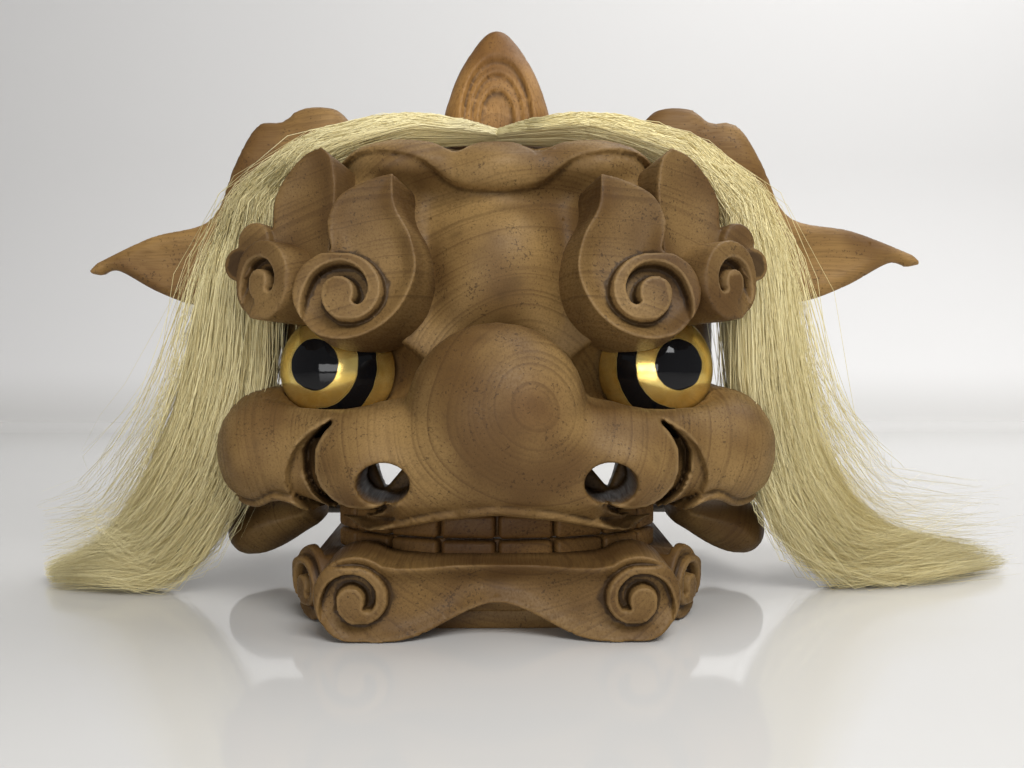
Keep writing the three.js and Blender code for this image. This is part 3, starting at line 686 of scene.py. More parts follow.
def arch_spot(turn, inset=0):
    """A point on the arch of teeth, turned from the middle, some way inside its front."""
    outer = ARCH["outer"]
    deep = outer * ARCH["depth_share"] - inset
    return Vector((math.sin(turn) * (outer - inset), ARCH["y"] - math.cos(turn) * deep, 0))


def teeth_row(low_z, high_z):
    """A row of rounded blocks set along the arch, on a bar behind them."""
    bm = bmesh.new()
    deep = ARCH["thickness"] - 3
    for step in range(-TEETH_A_SIDE, TEETH_A_SIDE):
        start, end = (arch_spot((step + turn) * ARCH["angle"]) for turn in (0, 1))
        chord = end - start
        yaw = Matrix.Rotation(math.atan2(chord.y, chord.x), 4, "Z")
        front = arch_spot((step + 0.5) * ARCH["angle"])
        middle = front + yaw @ Vector((0, deep / 2 + 1.2, 0)) + Vector((0, 0, (low_z + high_z) / 2))
        size = Matrix.Diagonal((chord.length - TOOTH_GAP, deep, high_z - low_z - 0.6, 1))
        bmesh.ops.create_cube(bm, size=1, matrix=Matrix.Translation(middle) @ yaw @ size)
    soften_edges(bm, bm.edges, 2.6, segments=4)
    turns = np.linspace(-1.45, 1.45, 25)
    bar = [arch_spot(turn, 7)[:2] for turn in turns] + [arch_spot(turn, 17)[:2] for turn in turns[::-1]]
    add_plate(bm, bar, low_z + 0.4, high_z - 0.4, bevel=0.5)
    return bm


# Horn: rows up its height, as share of the height, half width, half depth and lean backwards
HORN_SECTIONS = [
    (0, 30, 21, 0),
    (0.28, 35, 23, 0),
    (0.5, 31, 20, 3),
    (0.7, 24, 15.5, 6),
    (0.86, 15.5, 11, 9),
    (0.96, 8, 7, 10),
    (1, 2.5, 3, 11),
]
HORN = {"y": 38, "base_z": 268, "tip_z": 358, "scoop_z": 296, "scoop_half": (24, 44)}
# The steps of the scooped front: depth, and the shares of the scoop that each starts and ends at
HORN_STEPS = [(5, 1.0, 0.86), (3, 0.74, 0.66), (3, 0.5, 0.42)]


def carve_horn():
    block = WoodBlock((-42, 6, 258), (42, 68, 362), HORN_STEP)
    rise = (block.z - HORN["base_z"]) / (HORN["tip_z"] - HORN["base_z"])
    half_width, half_depth, back = (column(rise, HORN_SECTIONS, index) for index in (1, 2, 3))
    u, v = block.x / half_width, (block.y - HORN["y"] - back) / half_depth
    reach = np.hypot(u, v)
    slope = np.sqrt((u / half_width) ** 2 + (v / half_depth) ** 2) / np.maximum(reach, 1e-3)
    block.wood = ((reach - 1) / slope).astype(np.float32)
    # The scooped front, with a rim round it and stepped arches inside
    half_x, half_z = HORN["scoop_half"]
    scoop = np.hypot(block.x / half_x, (block.z - HORN["scoop_z"]) / half_z)
    depth = sum(deep * ease(start, end, scoop) for deep, start, end in HORN_STEPS)
    block.wood = block.wood + depth * ease(0.2, -0.5, v)
    block.cut(HORN["tip_z"] - block.z, 2)
    return block.skin(soften=4)


# Outline of a jowl from the front, as (x, z): a wedge that ends in a low outer corner
JOWL = {"front_y": 20, "swell": 30, "back_y": 124, "inner_x": 107.5}
JOWL_OUTLINE = [
    (112, 56), (150, 58), (168, 49), (175, 37), (174, 24),
    (166, 16.5), (154, 16), (140, 21), (124, 31), (112, 40),
]


def carve_jowl():
    block = WoodBlock((104, -16, 8), (182, 134, 68), JOWL_STEP)
    x, y, z = block.x, block.y, block.z
    edge = outline_distance(x[:, 0], z[0], outline_through(JOWL_OUTLINE, 60))[:, None]
    swell = JOWL["swell"] * (1 - np.exp(-np.maximum(-edge, 0) / 9))
    front = JOWL["front_y"] - swell + 0.12 * np.maximum(x - 130, 0)
    narrowing = 0.2 * np.maximum(y - 40, 0)
    block.wood = cut_away(edge + narrowing, y - front, 3).astype(np.float32)
    block.cut(JOWL["back_y"] - y, 3)
    block.cut(x - JOWL["inner_x"], 1)
    return block.skin()


# Ears
EAR = {"y": 42, "thickness": 15, "root_x": 140}
EAR_UPPER = [(88, 284), (103, 304), (126, 306), (140, 297), (156, 294), (172, 266), (188, 233), (226, 222)]
EAR_TIP = [(262, 205), (267, 199), (259, 197)]
EAR_LOWER = [(248, 200), (222, 186), (194, 177), (160, 180), (128, 196)]
EAR_SET = {"left": (1.1, 7), "right": (1, 0)}  # how far each ear reaches and how much its tip is lifted
# Swellings and the hollow of an ear's front, as x, z and their spreads
EAR_LOBES = [(118, 280, 22, 22), (158, 272, 18, 20)]
EAR_HOLLOW = (200, 206, 46, 15)


def carve_ear(reach, lift):
    def stretched(rows):
        rows = np.array(rows, float)
        past = np.maximum(rows[:, 0] - EAR["root_x"], 0)
        return np.stack([rows[:, 0] + past * (reach - 1), rows[:, 1] + lift * past / EAR["root_x"]], 1)

    upper, tip, lower = stretched(EAR_UPPER), stretched(EAR_TIP), stretched(EAR_LOWER)
    line_above = curve_through(np.concatenate([upper, tip[:1]]), 50)
    line_tip = curve_through(tip, 6)[1:]
    line_below = curve_through(np.concatenate([tip[-1:], lower]), 30)[1:]
    outline = np.concatenate([line_above, line_tip, line_below])
    low, high = outline.min(0) - 4, outline.max(0) + 4
    block = WoodBlock((low[0], 24, low[1]), (high[0], 58, high[1]), EAR_STEP)
    x, y, z = block.x, block.y, block.z
    edge = outline_distance(x[:, 0], z[0], outline)[:, None]
    inside = np.maximum(-edge, 0)
    half = EAR["thickness"] / 2
    # The front swells in the two lobes and is hollowed along the long tip, inside a raised lower edge
    def mound(at_x, at_z, wide, high):
        return np.exp(-(((x - at_x) / wide) ** 2 + ((z - at_z) / high) ** 2))

    lobes = sum(mound(*row) for row in EAR_LOBES)
    hollow = mound(*EAR_HOLLOW) * ease(4, 12, inside)
    face = -half - 4.5 * lobes + 4 * hollow
    rounding = 5 * np.exp(-inside / 3.2)
    front = EAR["y"] + face + rounding
    back = EAR["y"] + half - rounding
    block.wood = np.maximum(np.maximum(front - y, y - back) * 0.8, edge)
    return block.skin(soften=4)


# Finishes
PALE_WOOD = (0.275, 0.168, 0.06)
DEEP_WOOD = (0.12, 0.063, 0.02)
HEART_BROWN = (0.1, 0.042, 0.016)
RING_BROWN = (0.07, 0.034, 0.012)
FIBRE_BROWN = (0.085, 0.044, 0.016)
SPECK_BROWN = (0.035, 0.018, 0.008)
# Pale tan on the edges: rubbed wear, and a painted highlight along the crisp edges
RUBBED_HIGHLIGHT_TAN = (0.4, 0.26, 0.11)
# Dark brown in the cuts: dust, and painted shade
DUST_AND_SHADE_BROWN = (0.03, 0.016, 0.007)
RING_WIDTH = 0.0034
DULL_GOLD = (0.78, 0.5, 0.09)
BRIGHT_GOLD = (1.0, 0.76, 0.24)
LEAF_SEAM_GOLD = (1.0, 0.8, 0.34)
LACQUER_BLACK = (0.006, 0.006, 0.007)
DARK_HAIR = (0.5, 0.39, 0.15)
CREAM_HAIR = (0.98, 0.88, 0.52)
DARK_IRON = (0.12, 0.11, 0.1)
WORN_IRON = (0.34, 0.31, 0.28)
TABLE_GREY = (0.66, 0.65, 0.63)
WALL_WHITE = (0.83, 0.82, 0.81)
# The painted eye, in degrees from the way it looks
GAZE = {"turn": 19, "lift": 6}
PUPIL = (-5, 24.5)
EYE_RING = (42, 62)
BRUSH_EDGE = 0.012  # radians


def put(tree, value, socket):
    """Wires a socket, or sets it where the value is plain."""
    if isinstance(value, bpy.types.NodeSocket):
        tree.links.new(value, socket)
    else:
        socket.default_value = value


def node(tree, kind, inputs=None, **settings):
    """Adds a node, with its settings, and its inputs set or wired."""
    made = tree.nodes.new("ShaderNode" + kind)
    for name, value in settings.items():
        setattr(made, name, value)
    for name, value in (inputs or {}).items():
        put(tree, value, made.inputs[name])
    return made


def maths(tree, operation, first, second=0.0, clamp=False):
    return node(tree, "Math", {0: first, 1: second}, operation=operation, use_clamp=clamp).outputs[0]


def times(tree, first, second):
    return maths(tree, "MULTIPLY", first, second)


def swing(tree, value, share):
    """A value from 0 to 1 as a swing to both sides of nothing."""
    return times(tree, maths(tree, "SUBTRACT", value, 0.5), share)


def vectors(tree, operation, first, second=(0, 0, 0), result=0):
    return node(tree, "VectorMath", {0: first, 1: second}, operation=operation).outputs[result]


def noise(tree, place, scale, detail, rough=0.5, result=0):
    inputs = {"Vector": place, "Scale": scale, "Detail": detail, "Roughness": rough}
    return node(tree, "TexNoise", inputs).outputs[result]


def noise_in_line(tree, place, scale, detail):
    inputs = {"W": place, "Scale": scale, "Detail": detail}
    return node(tree, "TexNoise", inputs, noise_dimensions="1D").outputs[0]


def blended(tree, share, first, second):
    """A colour between two others."""
    first, second = ((*colour, 1) if isinstance(colour, tuple) else colour for colour in (first, second))
    return node(tree, "Mix", {0: share, 6: first, 7: second}, data_type="RGBA").outputs[2]


def between(tree, value, low, high, to_low=0.0, to_high=1.0):
    """A smooth step of a value."""
    inputs = {"Value": value, "From Min": low, "From Max": high, "To Min": to_low, "To Max": to_high}
    return node(tree, "MapRange", inputs, interpolation_type="SMOOTHSTEP").outputs[0]


def object_place(tree):
    return node(tree, "TexCoord").outputs["Object"]


FLOAT, VECTOR = "NodeSocketFloat", "NodeSocketVector"


def new_group(name, inputs, outputs):
    group = bpy.data.node_groups.new(name, "ShaderNodeTree")
    for label, kind in inputs:
        group.interface.new_socket(label, in_out="INPUT", socket_type=kind)
    for label in outputs:
        group.interface.new_socket(label, in_out="OUTPUT", socket_type=FLOAT)
    return group, group.nodes.new("NodeGroupInput").outputs


def hand_out(group, found):
    """Wires what a group has found to its outputs."""
    out = group.nodes.new("NodeGroupOutput").inputs
    for label, value in found.items():
        group.links.new(value, out[label])
    return group


def growth_rings_group():
    """Growth rings round the Y axis of the log, fibre along it, and slow blotches."""
    inputs = [("Log", VECTOR), ("Ring width", FLOAT), ("Wander", FLOAT)]
    group, given = new_group("growth_rings", inputs, ["Ring", "Fibre", "Blotch", "Heart"])
    log = given["Log"]
    drift = vectors(group, "SUBTRACT", noise(group, log, 11.0, 1.0, 0.45, "Color"), (0.5, 0.5, 0.5))
    push = node(group, "VectorMath", {0: drift, "Scale": given["Wander"]}, operation="SCALE")
    moved = vectors(group, "ADD", log, push.outputs[0])
    flat = vectors(group, "MULTIPLY", moved, (1.0, 0.06, 1.0))
    reach = vectors(group, "LENGTH", flat, result="Value")
    years = maths(group, "DIVIDE", reach, given["Ring width"])
    years = maths(group, "ADD", years, times(group, noise_in_line(group, years, 0.35, 1.0), 2.2))
    season = maths(group, "FRACT", years)
    late = times(group, between(group, season, 0.25, 0.86), between(group, season, 1.0, 0.9))
    faded = times(group, noise(group, log, 26.0, 1.0), 0.7)
    strength = maths(group, "ADD", noise_in_line(group, years, 0.8, 0.0), faded)
    along = vectors(group, "MULTIPLY", moved, (900.0, 26.0, 900.0))
    found = {
        "Ring": times(group, late, between(group, strength, 0.62, 1.2)),
        "Fibre": noise(group, along, 1.0, 2.0, 0.6),
        "Blotch": noise(group, log, 17.0, 2.0, 0.55),
        "Heart": between(group, reach, 0.028, 0.004),
    }
    return hand_out(group, found)


def wear_and_painted_light_group():
    """Where hands and cloth have rubbed the edges pale, with a painted highlight along them, and where dust
    and painted shade have darkened the cuts.
    """
    inputs = [("Place", VECTOR), ("Relief", FLOAT)]
    group, given = new_group("wear_and_painted_light", inputs, ["Rubbed_highlight", "Darkened", "Specks"])
    patches = noise(group, given["Place"], 70.0, 2.0)
    wear_light_and_shade = maths(group, "ADD", given["Relief"], swing(group, patches, 0.7))
    specks = noise(group, given["Place"], 620.0, 1.0, 0.7)
    gathered = maths(group, "ADD", specks, swing(group, patches, 0.5))
    found = {
        # Rubbed wear with a painted highlight, on the edges
        "Rubbed_highlight": between(group, wear_light_and_shade, 0.26, 0.8),
        # Dust with painted shade, where the surface is hollow
        "Darkened": between(group, wear_light_and_shade, -0.08, -0.62),
        "Specks": between(group, gathered, 0.64, 0.74),
    }
    return hand_out(group, found)


GROWTH_RINGS = growth_rings_group()
WEAR_AND_PAINTED_LIGHT = wear_and_painted_light_group()


def new_material(name):
    material = bpy.data.materials.new(name)
    material.use_nodes = True
    return material, material.node_tree


def dress(material, sockets):
    """Gives a material's shader its finish."""
    shader = material.node_tree.nodes["Principled BSDF"]
    for name, value in sockets.items():
        put(material.node_tree, value, shader.inputs[name])
    return material


def wood(name, pith, turn=(0, 0, 0), tone=(1, 1, 1), wander=0.012, ring_share=0.4, heart=0.0):
    """Bare carved wood; pith is a point on the log's middle and turn lays the log along another way."""
    material, tree = new_material(name)
    place = object_place(tree)
    laid = {"Vector": place, "Location": pith, "Rotation": tuple(map(math.radians, turn))}
    log = node(tree, "Mapping", laid, vector_type="TEXTURE").outputs[0]
    grown = {"Log": log, "Ring width": RING_WIDTH, "Wander": wander}
    rings = node(tree, "Group", grown, node_tree=GROWTH_RINGS).outputs
    relief = node(tree, "Attribute", attribute_name="relief").outputs["Fac"]
    wear_and_light = node(tree, "Group", {"Place": place, "Relief": relief}, node_tree=WEAR_AND_PAINTED_LIGHT).outputs

    def toned(colour):
        return tuple(part * share for part, share in zip(colour, tone))

    look = blended(tree, between(tree, rings["Blotch"], 0.3, 0.7), toned(DEEP_WOOD), toned(PALE_WOOD))
    layers = [
        (times(tree, rings["Heart"], heart), HEART_BROWN),
        (times(tree, rings["Ring"], ring_share), RING_BROWN),
        (between(tree, rings["Fibre"], 0.42, 0.75, 0.0, 0.4), FIBRE_BROWN),
        (times(tree, wear_and_light["Specks"], 0.55), SPECK_BROWN),
        # Edges: rubbed wear with a painted highlight
        (times(tree, wear_and_light["Rubbed_highlight"], 0.34), RUBBED_HIGHLIGHT_TAN),
        # Cuts: dust with painted shade
        (times(tree, wear_and_light["Darkened"], 0.75), DUST_AND_SHADE_BROWN),
    ]
    for mask, colour in layers:
        look = blended(tree, mask, look, toned(colour))
    bump = node(tree, "Bump", {"Strength": 0.2, "Distance": 0.0004, "Height": rings["Fibre"]})
    finish = {
        "Base Color": look,
        "Roughness": between(tree, rings["Fibre"], 0.2, 0.8, 0.42, 0.62),
        "Normal": bump.outputs[0],
        "Specular IOR Level": 0.2,
    }
    return dress(material, finish)


def gilded_eye(name, side):
    """Gold leaf with a black pupil and a black ring, laid round the way the eye looks."""
    material, tree = new_material(name)
    place = object_place(tree)
    middle = (side * EYE.x * MM, EYE.y * MM, EYE.z * MM)
    unit = vectors(tree, "NORMALIZE", vectors(tree, "SUBTRACT", place, middle))
    turn, lift = math.radians(GAZE["turn"]), math.radians(GAZE["lift"])
    gaze = (side * math.sin(turn) * math.cos(lift), -math.cos(turn) * math.cos(lift), math.sin(lift))
    aside = maths(tree, "ARCCOSINE", vectors(tree, "DOT_PRODUCT", unit, gaze, "Value"))
    angle = maths(tree, "ADD", aside, swing(tree, noise(tree, place, 120.0, 1.0), 0.05))

    def zone(low, high):
        low, high = math.radians(low), math.radians(high)
        inside = between(tree, angle, low - BRUSH_EDGE, low + BRUSH_EDGE)
        return times(tree, inside, between(tree, angle, high + BRUSH_EDGE, high - BRUSH_EDGE))

    outward = times(tree, node(tree, "SeparateXYZ", {0: unit}).outputs["X"], float(side))
    ring = times(tree, zone(*EYE_RING), between(tree, outward, 0.3, 0.24))
    black = maths(tree, "ADD", zone(*PUPIL), ring, clamp=True)
    leaf = node(tree, "TexVoronoi", {"Vector": place, "Scale": 170.0}, distance="CHEBYCHEV")
    rub = noise(tree, place, 60.0, 4.0)
    gold = blended(tree, between(tree, rub, 0.35, 0.7), DULL_GOLD, BRIGHT_GOLD)
    gold = blended(tree, times(tree, leaf.outputs["Distance"], 0.5), gold, LEAF_SEAM_GOLD)
    bump = node(tree, "Bump", {"Strength": 0.35, "Distance": 0.0006, "Height": rub})
    finish = {
        "Base Color": blended(tree, black, gold, LACQUER_BLACK),
        "Metallic": between(tree, black, 0.0, 1.0, 0.8, 0.0),
        "Roughness": between(tree, black, 0.0, 1.0, 0.2, 0.06),
        "Specular IOR Level": 0.3,
        "Normal": bump.outputs[0],
    }
    return dress(material, finish)


def horsehair():
    """Cream horsehair; each strand has a shade of its own, with faint streaks along it."""
    material, tree = new_material("horsehair")
    noted = {}
    for label in ("shade", "along", "across"):
        noted[label] = node(tree, "Attribute", attribute_name=label).outputs["Fac"]
    lanes = {"X": times(tree, noted["across"], 60.0), "Y": times(tree, noted["along"], 4.0)}
    streak = noise(tree, node(tree, "CombineXYZ", lanes).outputs[0], 1.0, 4.0, 0.7)
    tint = maths(tree, "ADD", noted["shade"], swing(tree, streak, 0.6), clamp=True)
    cream = blended(tree, between(tree, tint, 0.0, 1.0), DARK_HAIR, CREAM_HAIR)
    return dress(material, {"Base Color": cream, "Roughness": 0.45, "Specular IOR Level": 0.3})


def pin_iron():
    material, tree = new_material("pin_iron")
    iron = blended(tree, noise(tree, object_place(tree), 300.0, 4.0), DARK_IRON, WORN_IRON)
    return dress(material, {"Base Color": iron, "Metallic": 0.9, "Roughness": 0.45})


HEAD_WOOD = wood("head_wood", (0.018, 0, 0.120), wander=0.016, ring_share=0.45, heart=0.5)
JAW_WOOD = wood("jaw_wood", (0.01, 0, 0.085), tone=(0.74, 0.7, 0.64))
BROW_TONE = (0.86, 0.85, 0.86)
BROW_WOODS = [
    wood("brow_wood_left", (0.05, 0, 0.08), tone=BROW_TONE, wander=0.014),
    wood("brow_wood_right", (-0.05, 0, 0.08), tone=BROW_TONE, wander=0.014),
]
EAR_WOOD = wood("ear_wood", (0, 0.02, 0.14), (0, 0, 90), (1.15, 1.1, 1.05), wander=0.02, ring_share=0.25)
HORN_WOOD = wood("horn_wood", (0, -0.01, 0.29), (90, 0, 0), (1.3, 1.12, 0.95), ring_share=0.3)
TOOTH_WOOD = wood("tooth_wood", (0.02, 0, 0.02), tone=(0.86, 0.75, 0.66))
HORSEHAIR = horsehair()
PIN_IRON = pin_iron()


# Mane: rows down the fall of each half; across is half its breadth, thick half its depth, and turn is how
# far its breadth has turned, in degrees, from fore-and-aft to the side
MANE = {
    "left": [
        (-2, 0, 281, 6, 3.5, 0),
        (40, -1, 285.5, 17, 8.5, 0),
        (90, -3, 279, 22, 10, 4),
        (130, -4, 256, 27, 14, 10),
        (152, -4, 224, 31, 17, 18),
        (161, -4, 182, 36, 17, 26),
        (167, 2, 135, 40, 16, 30),
        (178, 10, 88, 46, 15, 32),
        (202, 24, 48, 50, 14, 38),
        (240, 36, 18, 50, 11, 40),
        (290, 46, 9, 36, 6, 30),
        (338, 58, 6, 18, 4, 20),
    ],
    "right": [
        (-2, 0, 281, 6, 3.5, 0),
        (40, -1, 285, 17, 8.5, 0),
        (90, -3, 278, 22, 10, 4),
        (126, -4, 256, 28, 14, 12),
        (147, -5, 224, 33, 18, 22),
        (157, -5, 182, 40, 19, 32),
        (165, -1, 135, 46, 18, 36),
        (179, 6, 88, 52, 17, 38),
        (204, 18, 48, 52, 15, 42),
        (232, 23, 18, 50, 11, 40),
        (260, 14, 9, 38, 6, 30),
        (284, 2, 6, 15, 3, 18),
    ],
}
Hair = namedtuple("Hair", "count steps radius stray sweep shortest")
HAIR = {
    "strands": Hair(2400, 9, 0.26, (2.6, 9), 6, 0.7),
    "wisps": Hair(1000, 9, 0.16, (8, 22), 46, 0.6),
}
HAIR_FLOOR = 0.8
HAIR_SEED = 31
CORNERS = 3  # a strand is three-sided


def fall_frames(share, rows, sign):
    """Middle, breadth, outward way, half breadth and half depth of the fall at shares of its length."""
    values = through(share, rows)
    before, after = (through(np.clip(share + step, 0, 1), rows)[..., :3] for step in (-0.01, 0.01))
    ahead = after - before
    heading = ahead / np.linalg.norm(ahead, axis=-1, keepdims=True)
    turn = np.radians(values[..., 5])
    breadth = np.stack([np.sin(turn), np.cos(turn), np.zeros_like(turn)], -1)
    breadth -= heading * np.sum(heading * breadth, -1, keepdims=True)
    breadth /= np.linalg.norm(breadth, axis=-1, keepdims=True)
    out = np.cross(breadth, heading)
    mirror = np.array([sign, 1, 1])
    return values[..., :3] * mirror, breadth * mirror, out * mirror, values[..., 3:4], values[..., 4:5]


def hair_strands(rows, sign, hair, seed):
    """Strands from the parting to the floor: points, faces, and the shade and place noted for each point."""
    chance = np.random.default_rng(seed)
    count, steps = hair.count, hair.steps + 1

    def each(low, high):
        return chance.uniform(low, high, count)[:, None]

    line = np.linspace(0, 1, steps)[None]
    start = each(0, 0.06)
    end = np.where(each(0, 1) < 0.25, each(hair.shortest, 0.92), each(0.88, 1.0))
    share = start + (end - start) * line
    middle, breadth, inward, half, thick = fall_frames(share, rows, sign)
    around = each(0, 2 * np.pi)
    reach = np.where(each(0, 1) < 0.75, each(0.86, 1.1), each(0.3, 0.95))
    lane = np.cos(around) * reach
    lock = np.round(lane * 4 + each(-0.5, 0.5)) / 4
    lane = lane + (lock - lane) * (0.25 * ease(0.2, 0.6, share) + 0.35 * ease(0.7, 1.0, share))
    layer = np.sin(around) * reach * np.sqrt(np.maximum(1.25 - np.minimum(lane**2, 1.0), 0.25))
    loose = np.where(each(0, 1) < 0.12, hair.stray[1], hair.stray[0]) * ease(0.04, 0.55, share)

    def sway():
        return np.sin(share * each(2, 7) + each(0, 6.3))

    outward = hair.sweep * each(0, 1) ** 3 * ease(0.2, 0.85, share)
    points = middle + breadth * (lane[..., None] * half + (loose * sway())[..., None])
    points += inward * (layer[..., None] * thick + (loose * 0.6 * sway() - outward)[..., None])
    points[..., 2] = np.maximum(points[..., 2], HAIR_FLOOR + each(0, 4))
    heading = np.gradient(points, axis=1)
    heading /= np.linalg.norm(heading, axis=-1, keepdims=True) + 1e-9
    side = np.cross(heading, np.array([0.31, 0.47, 0.83]))
    side /= np.linalg.norm(side, axis=-1, keepdims=True) + 1e-9
    lift = np.cross(heading, side)
    taper = hair.radius * each(0.75, 1.25) * (1 - 0.75 * ease(0.55, 1.0, line))
    rings = []
    for corner in range(CORNERS):
        angle = corner * 2 * np.pi / CORNERS
        rings.append(points + (side * math.cos(angle) + lift * math.sin(angle)) * taper[..., None])
    tube = np.stack(rings, 2).reshape(-1, 3)
    low = (np.arange(count)[:, None] * steps + np.arange(hair.steps)[None]) * CORNERS
    high = low + CORNERS
    walls = []
    for corner in range(CORNERS):
        after = (corner + 1) % CORNERS
        walls.append(np.stack([low + corner, low + after, high + after, high + corner], -1).reshape(-1, 4))
    walls = np.concatenate(walls)
    root = np.arange(count) * steps * CORNERS
    tip = root + hair.steps * CORNERS
    caps = np.concatenate([np.stack([root + 2, root + 1, root], -1), np.stack([tip, tip + 1, tip + 2], -1)])
    shade = np.repeat(np.clip(chance.normal(0.66, 0.22, count), 0, 1), steps * CORNERS)
    noted = {
        "shade": shade,
        "along": np.repeat(share.ravel(), CORNERS),
        "across": np.repeat(lane.ravel(), CORNERS),
    }
    return tube, caps, walls, noted


def hair_bed(rows, sign):
    """The body of hair under the strands: rings down the fall, bridged."""
    bm = bmesh.new()
    along = bm.verts.layers.float.new("along")
    across = bm.verts.layers.float.new("across")
    shade = bm.verts.layers.float.new("shade")
    shares = np.linspace(0, 0.95, 40)
    loops = []
    for share in shares:
        middle, breadth, out, half, thick = (part[0] for part in fall_frames(np.array([share]), rows, sign))
        made = bmesh.ops.create_circle(bm, segments=26, radius=1)["verts"]
        shrink = 0.82 - 0.62 * float(ease(0.6, 0.95, share))
        for vert in made:
            u, v = vert.co.x, vert.co.y
            ripple = 1 + 0.08 * math.sin(9 * math.atan2(v, u) + 5 * share)
            spot = middle + breadth * half * u * shrink * ripple + out * thick * v * shrink * ripple
            vert.co = Vector(spot)
            vert.co.z = max(vert.co.z, HAIR_FLOOR)
            vert[along], vert[across], vert[shade] = share, u, 0.5
        loops.append(made)
    for first, second in zip(loops[:-1], loops[1:]):
        rims = []
        for ring in (first, second):
            around = {edge for vert in ring for edge in vert.link_edges}
            rims += [edge for edge in around if all(vert in ring for vert in edge.verts)]
        bmesh.ops.bridge_loops(bm, edges=rims)
    for ring in (loops[0], loops[-1]):
        bmesh.ops.contextual_create(bm, geom=ring)
    return bm


# Assembly
def carved_pair(kind, left, right, woods):
    """A carved piece on each side; both are carved as a left one, and the right one is mirrored."""
    for side, carved, material in zip(("left", "right"), (left, placed(right, MIRROR)), woods):
        name = f"{kind}_{side}"
        carved_piece(name, carved, material, "head", [name])


carved_piece("head_shell", carve_head(), HEAD_WOOD, "head", ["head_shell"])
for kind, brow in (("brow_inner", carve_inner_brow()), ("brow_outer", carve_outer_brow())):
    carved_pair(kind, brow, brow, BROW_WOODS)
carved_piece("horn", carve_horn(), HORN_WOOD, "head", ["horn"])
carved_pair("ear", carve_ear(*EAR_SET["left"]), carve_ear(*EAR_SET["right"]), [EAR_WOOD] * 2)
jowl = carve_jowl()
carved_pair("jowl", jowl, jowl, [HEAD_WOOD] * 2)

side_scroll = carve_side_scroll()
jaw_front = together([carve_jaw_lip(), side_scroll, placed(side_scroll, MIRROR)])
carved_piece("jaw_front", jaw_front, JAW_WOOD, "jaw", [])
bmesh_piece("lower_jaw", jaw_tray(), JAW_WOOD, "jaw", ["lower_jaw"])
upper_teeth, lower_teeth = teeth_row(BITE_Z, PALATE_Z), teeth_row(JAW["rim_z"], BITE_Z - 0.4)
bmesh_piece("upper_teeth", upper_teeth, TOOTH_WOOD, "head", ["upper_teeth"])
bmesh_piece("lower_teeth", lower_teeth, TOOTH_WOOD, "jaw", ["lower_teeth"])

EYE_BACK = -13  # the eye's ball is cut off flat this far from its middle
for side, sign in (("left", 1), ("right", -1)):
    ball = bmesh.new()
    bmesh.ops.create_uvsphere(ball, u_segments=64, v_segments=40, radius=EYE.rx)
    bmesh.ops.rotate(ball, verts=ball.verts, matrix=Matrix.Rotation(math.pi / 2, 3, "X"))
    everything = list(ball.verts) + list(ball.edges) + list(ball.faces)
    bmesh.ops.bisect_plane(
        ball, geom=everything, plane_co=(0, EYE_BACK, 0), plane_no=(0, 1, 0), clear_outer=True
    )
    bmesh.ops.holes_fill(ball, edges=[edge for edge in ball.edges if edge.is_boundary], sides=0)
    bmesh.ops.translate(ball, verts=ball.verts, vec=(sign * EYE.x, EYE.y, EYE.z))
    bmesh_piece(f"eye_{side}", ball, gilded_eye(f"gilded_eye_{side}", sign), "head", [f"eye_{side}"])

    pin = bmesh.new()
    add_rod(pin, sign * PIN["x"], PIN["radius"], PIN["length"], 24)
    bmesh_piece(f"hinge_pin_{side}", pin, PIN_IRON, "head", [f"hinge_pin_{side}"])

    bed = hair_bed(MANE[side], sign)
    bmesh_piece(f"mane_{side}", bed, HORSEHAIR, "head", [f"mane_{side}"])
    for kind, hair in HAIR.items():
        name = f"mane_{kind}_{side}"
        tube, caps, walls, noted = hair_strands(MANE[side], sign, hair, HAIR_SEED + sign + hair.count)
        strands = mesh_from_arrays(name, tube, caps, walls)
        for label, values in noted.items():
            note_points(strands, label, values)
        new_object(name, strands, HORSEHAIR, "head")


# Stage, light and camera
STUDIO = {"half": 1.6, "wall": 2.2, "bend": 0.5}


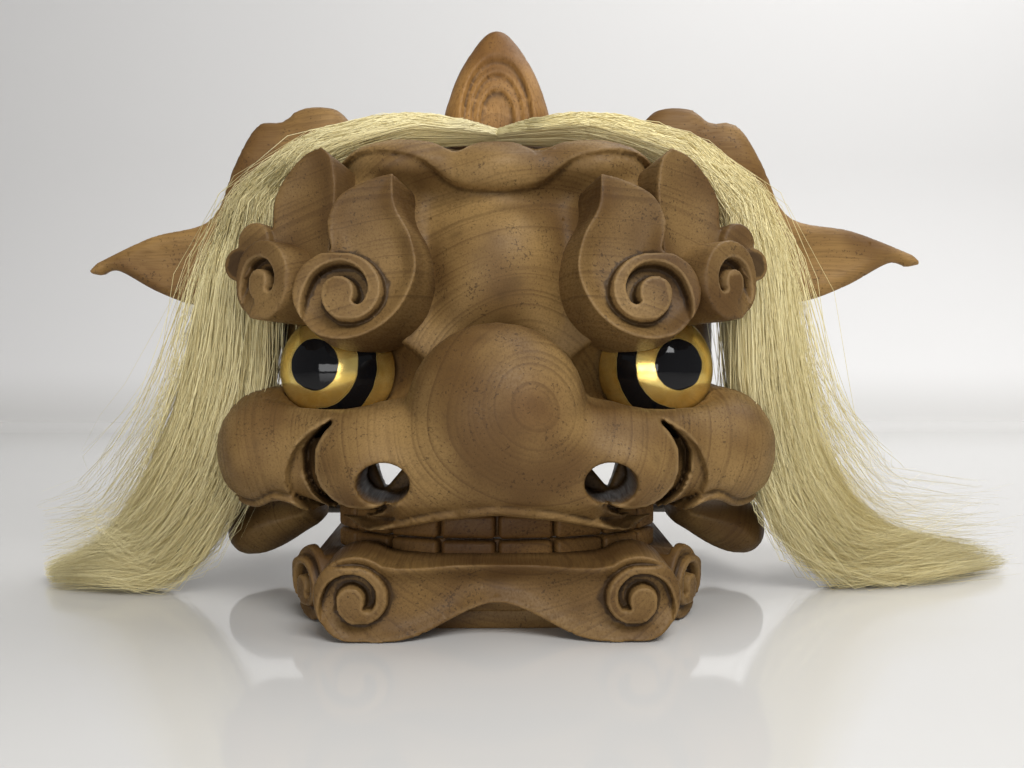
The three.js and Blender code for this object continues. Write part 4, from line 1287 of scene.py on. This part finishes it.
def studio():
    """A pale glossy table that bends up into a plain wall."""
    bm = bmesh.new()
    bmesh.ops.create_grid(bm, x_segments=1, y_segments=1, size=STUDIO["half"])
    back = [edge for edge in bm.edges if all(vert.co.y > 0 for vert in edge.verts)]
    raised = bmesh.ops.extrude_edge_only(bm, edges=back)["geom"]
    top = [part for part in raised if isinstance(part, bmesh.types.BMVert)]
    bmesh.ops.translate(bm, verts=top, vec=(0, 0, STUDIO["wall"]))
    soften_edges(bm, back, STUDIO["bend"], segments=16)
    mesh = bpy.data.meshes.new("studio_floor")
    bm.to_mesh(mesh)
    bm.free()
    mesh.shade_smooth()
    material, tree = new_material("studio_white")
    height = node(tree, "SeparateXYZ", {0: object_place(tree)}).outputs["Z"]
    paper = blended(tree, between(tree, height, 0.0, 0.1), TABLE_GREY, WALL_WHITE)
    gloss = between(tree, height, 0.0, 0.03, 0.07, 0.8)
    dress(material, {"Base Color": paper, "Roughness": gloss, "Specular IOR Level": 0.5})
    mesh.materials.append(material)
    floor = bpy.data.objects.new("studio_floor", mesh)
    bpy.context.scene.collection.objects.link(floor)


def lamp(name, place, aim, size, power):
    light = bpy.data.lights.new(name, "AREA")
    light.shape = "RECTANGLE"
    light.size, light.size_y = size
    light.energy = power
    holder = bpy.data.objects.new(name, light)
    holder.location = place
    holder.rotation_euler = (Vector(aim) - Vector(place)).to_track_quat("-Z", "Y").to_euler()
    bpy.context.scene.collection.objects.link(holder)


studio()
lamp("window_light", (0.45, -1.25, 1.35), (0, -0.05, 0.1), (1.1, 0.8), 25)
lamp("soft_front", (-0.45, -1.7, 0.26), (0, 0, 0.06), (1.2, 0.4), 8)
lamp("over_light", (1.0, 0.75, 2.0), (0.35, 1.2, 0.3), (1.8, 1.2), 28)
world = bpy.data.worlds.new("studio_air")
world.use_nodes = True
world.node_tree.nodes["Background"].inputs["Color"].default_value = (1, 1, 1, 1)
world.node_tree.nodes["Background"].inputs["Strength"].default_value = 0.2
bpy.context.scene.world = world
bpy.context.scene.view_settings.view_transform = "Standard"

CAMERA_PLACE = (0, -0.720, 0.160)
LENS_SHARE = 1150 / 1024  # the lens's length over the picture's width
LOOK_DOWN = 2.59
LOOK_ASIDE = -0.747
camera_data = bpy.data.cameras.new("camera")
camera_data.sensor_width = 36
camera_data.lens = camera_data.sensor_width * LENS_SHARE
camera_data.clip_start = 0.01
camera = bpy.data.objects.new("camera", camera_data)
camera.location = CAMERA_PLACE
camera.rotation_euler = (math.radians(90 - LOOK_DOWN), 0, math.radians(LOOK_ASIDE))
bpy.context.scene.collection.objects.link(camera)
bpy.context.scene.camera = camera
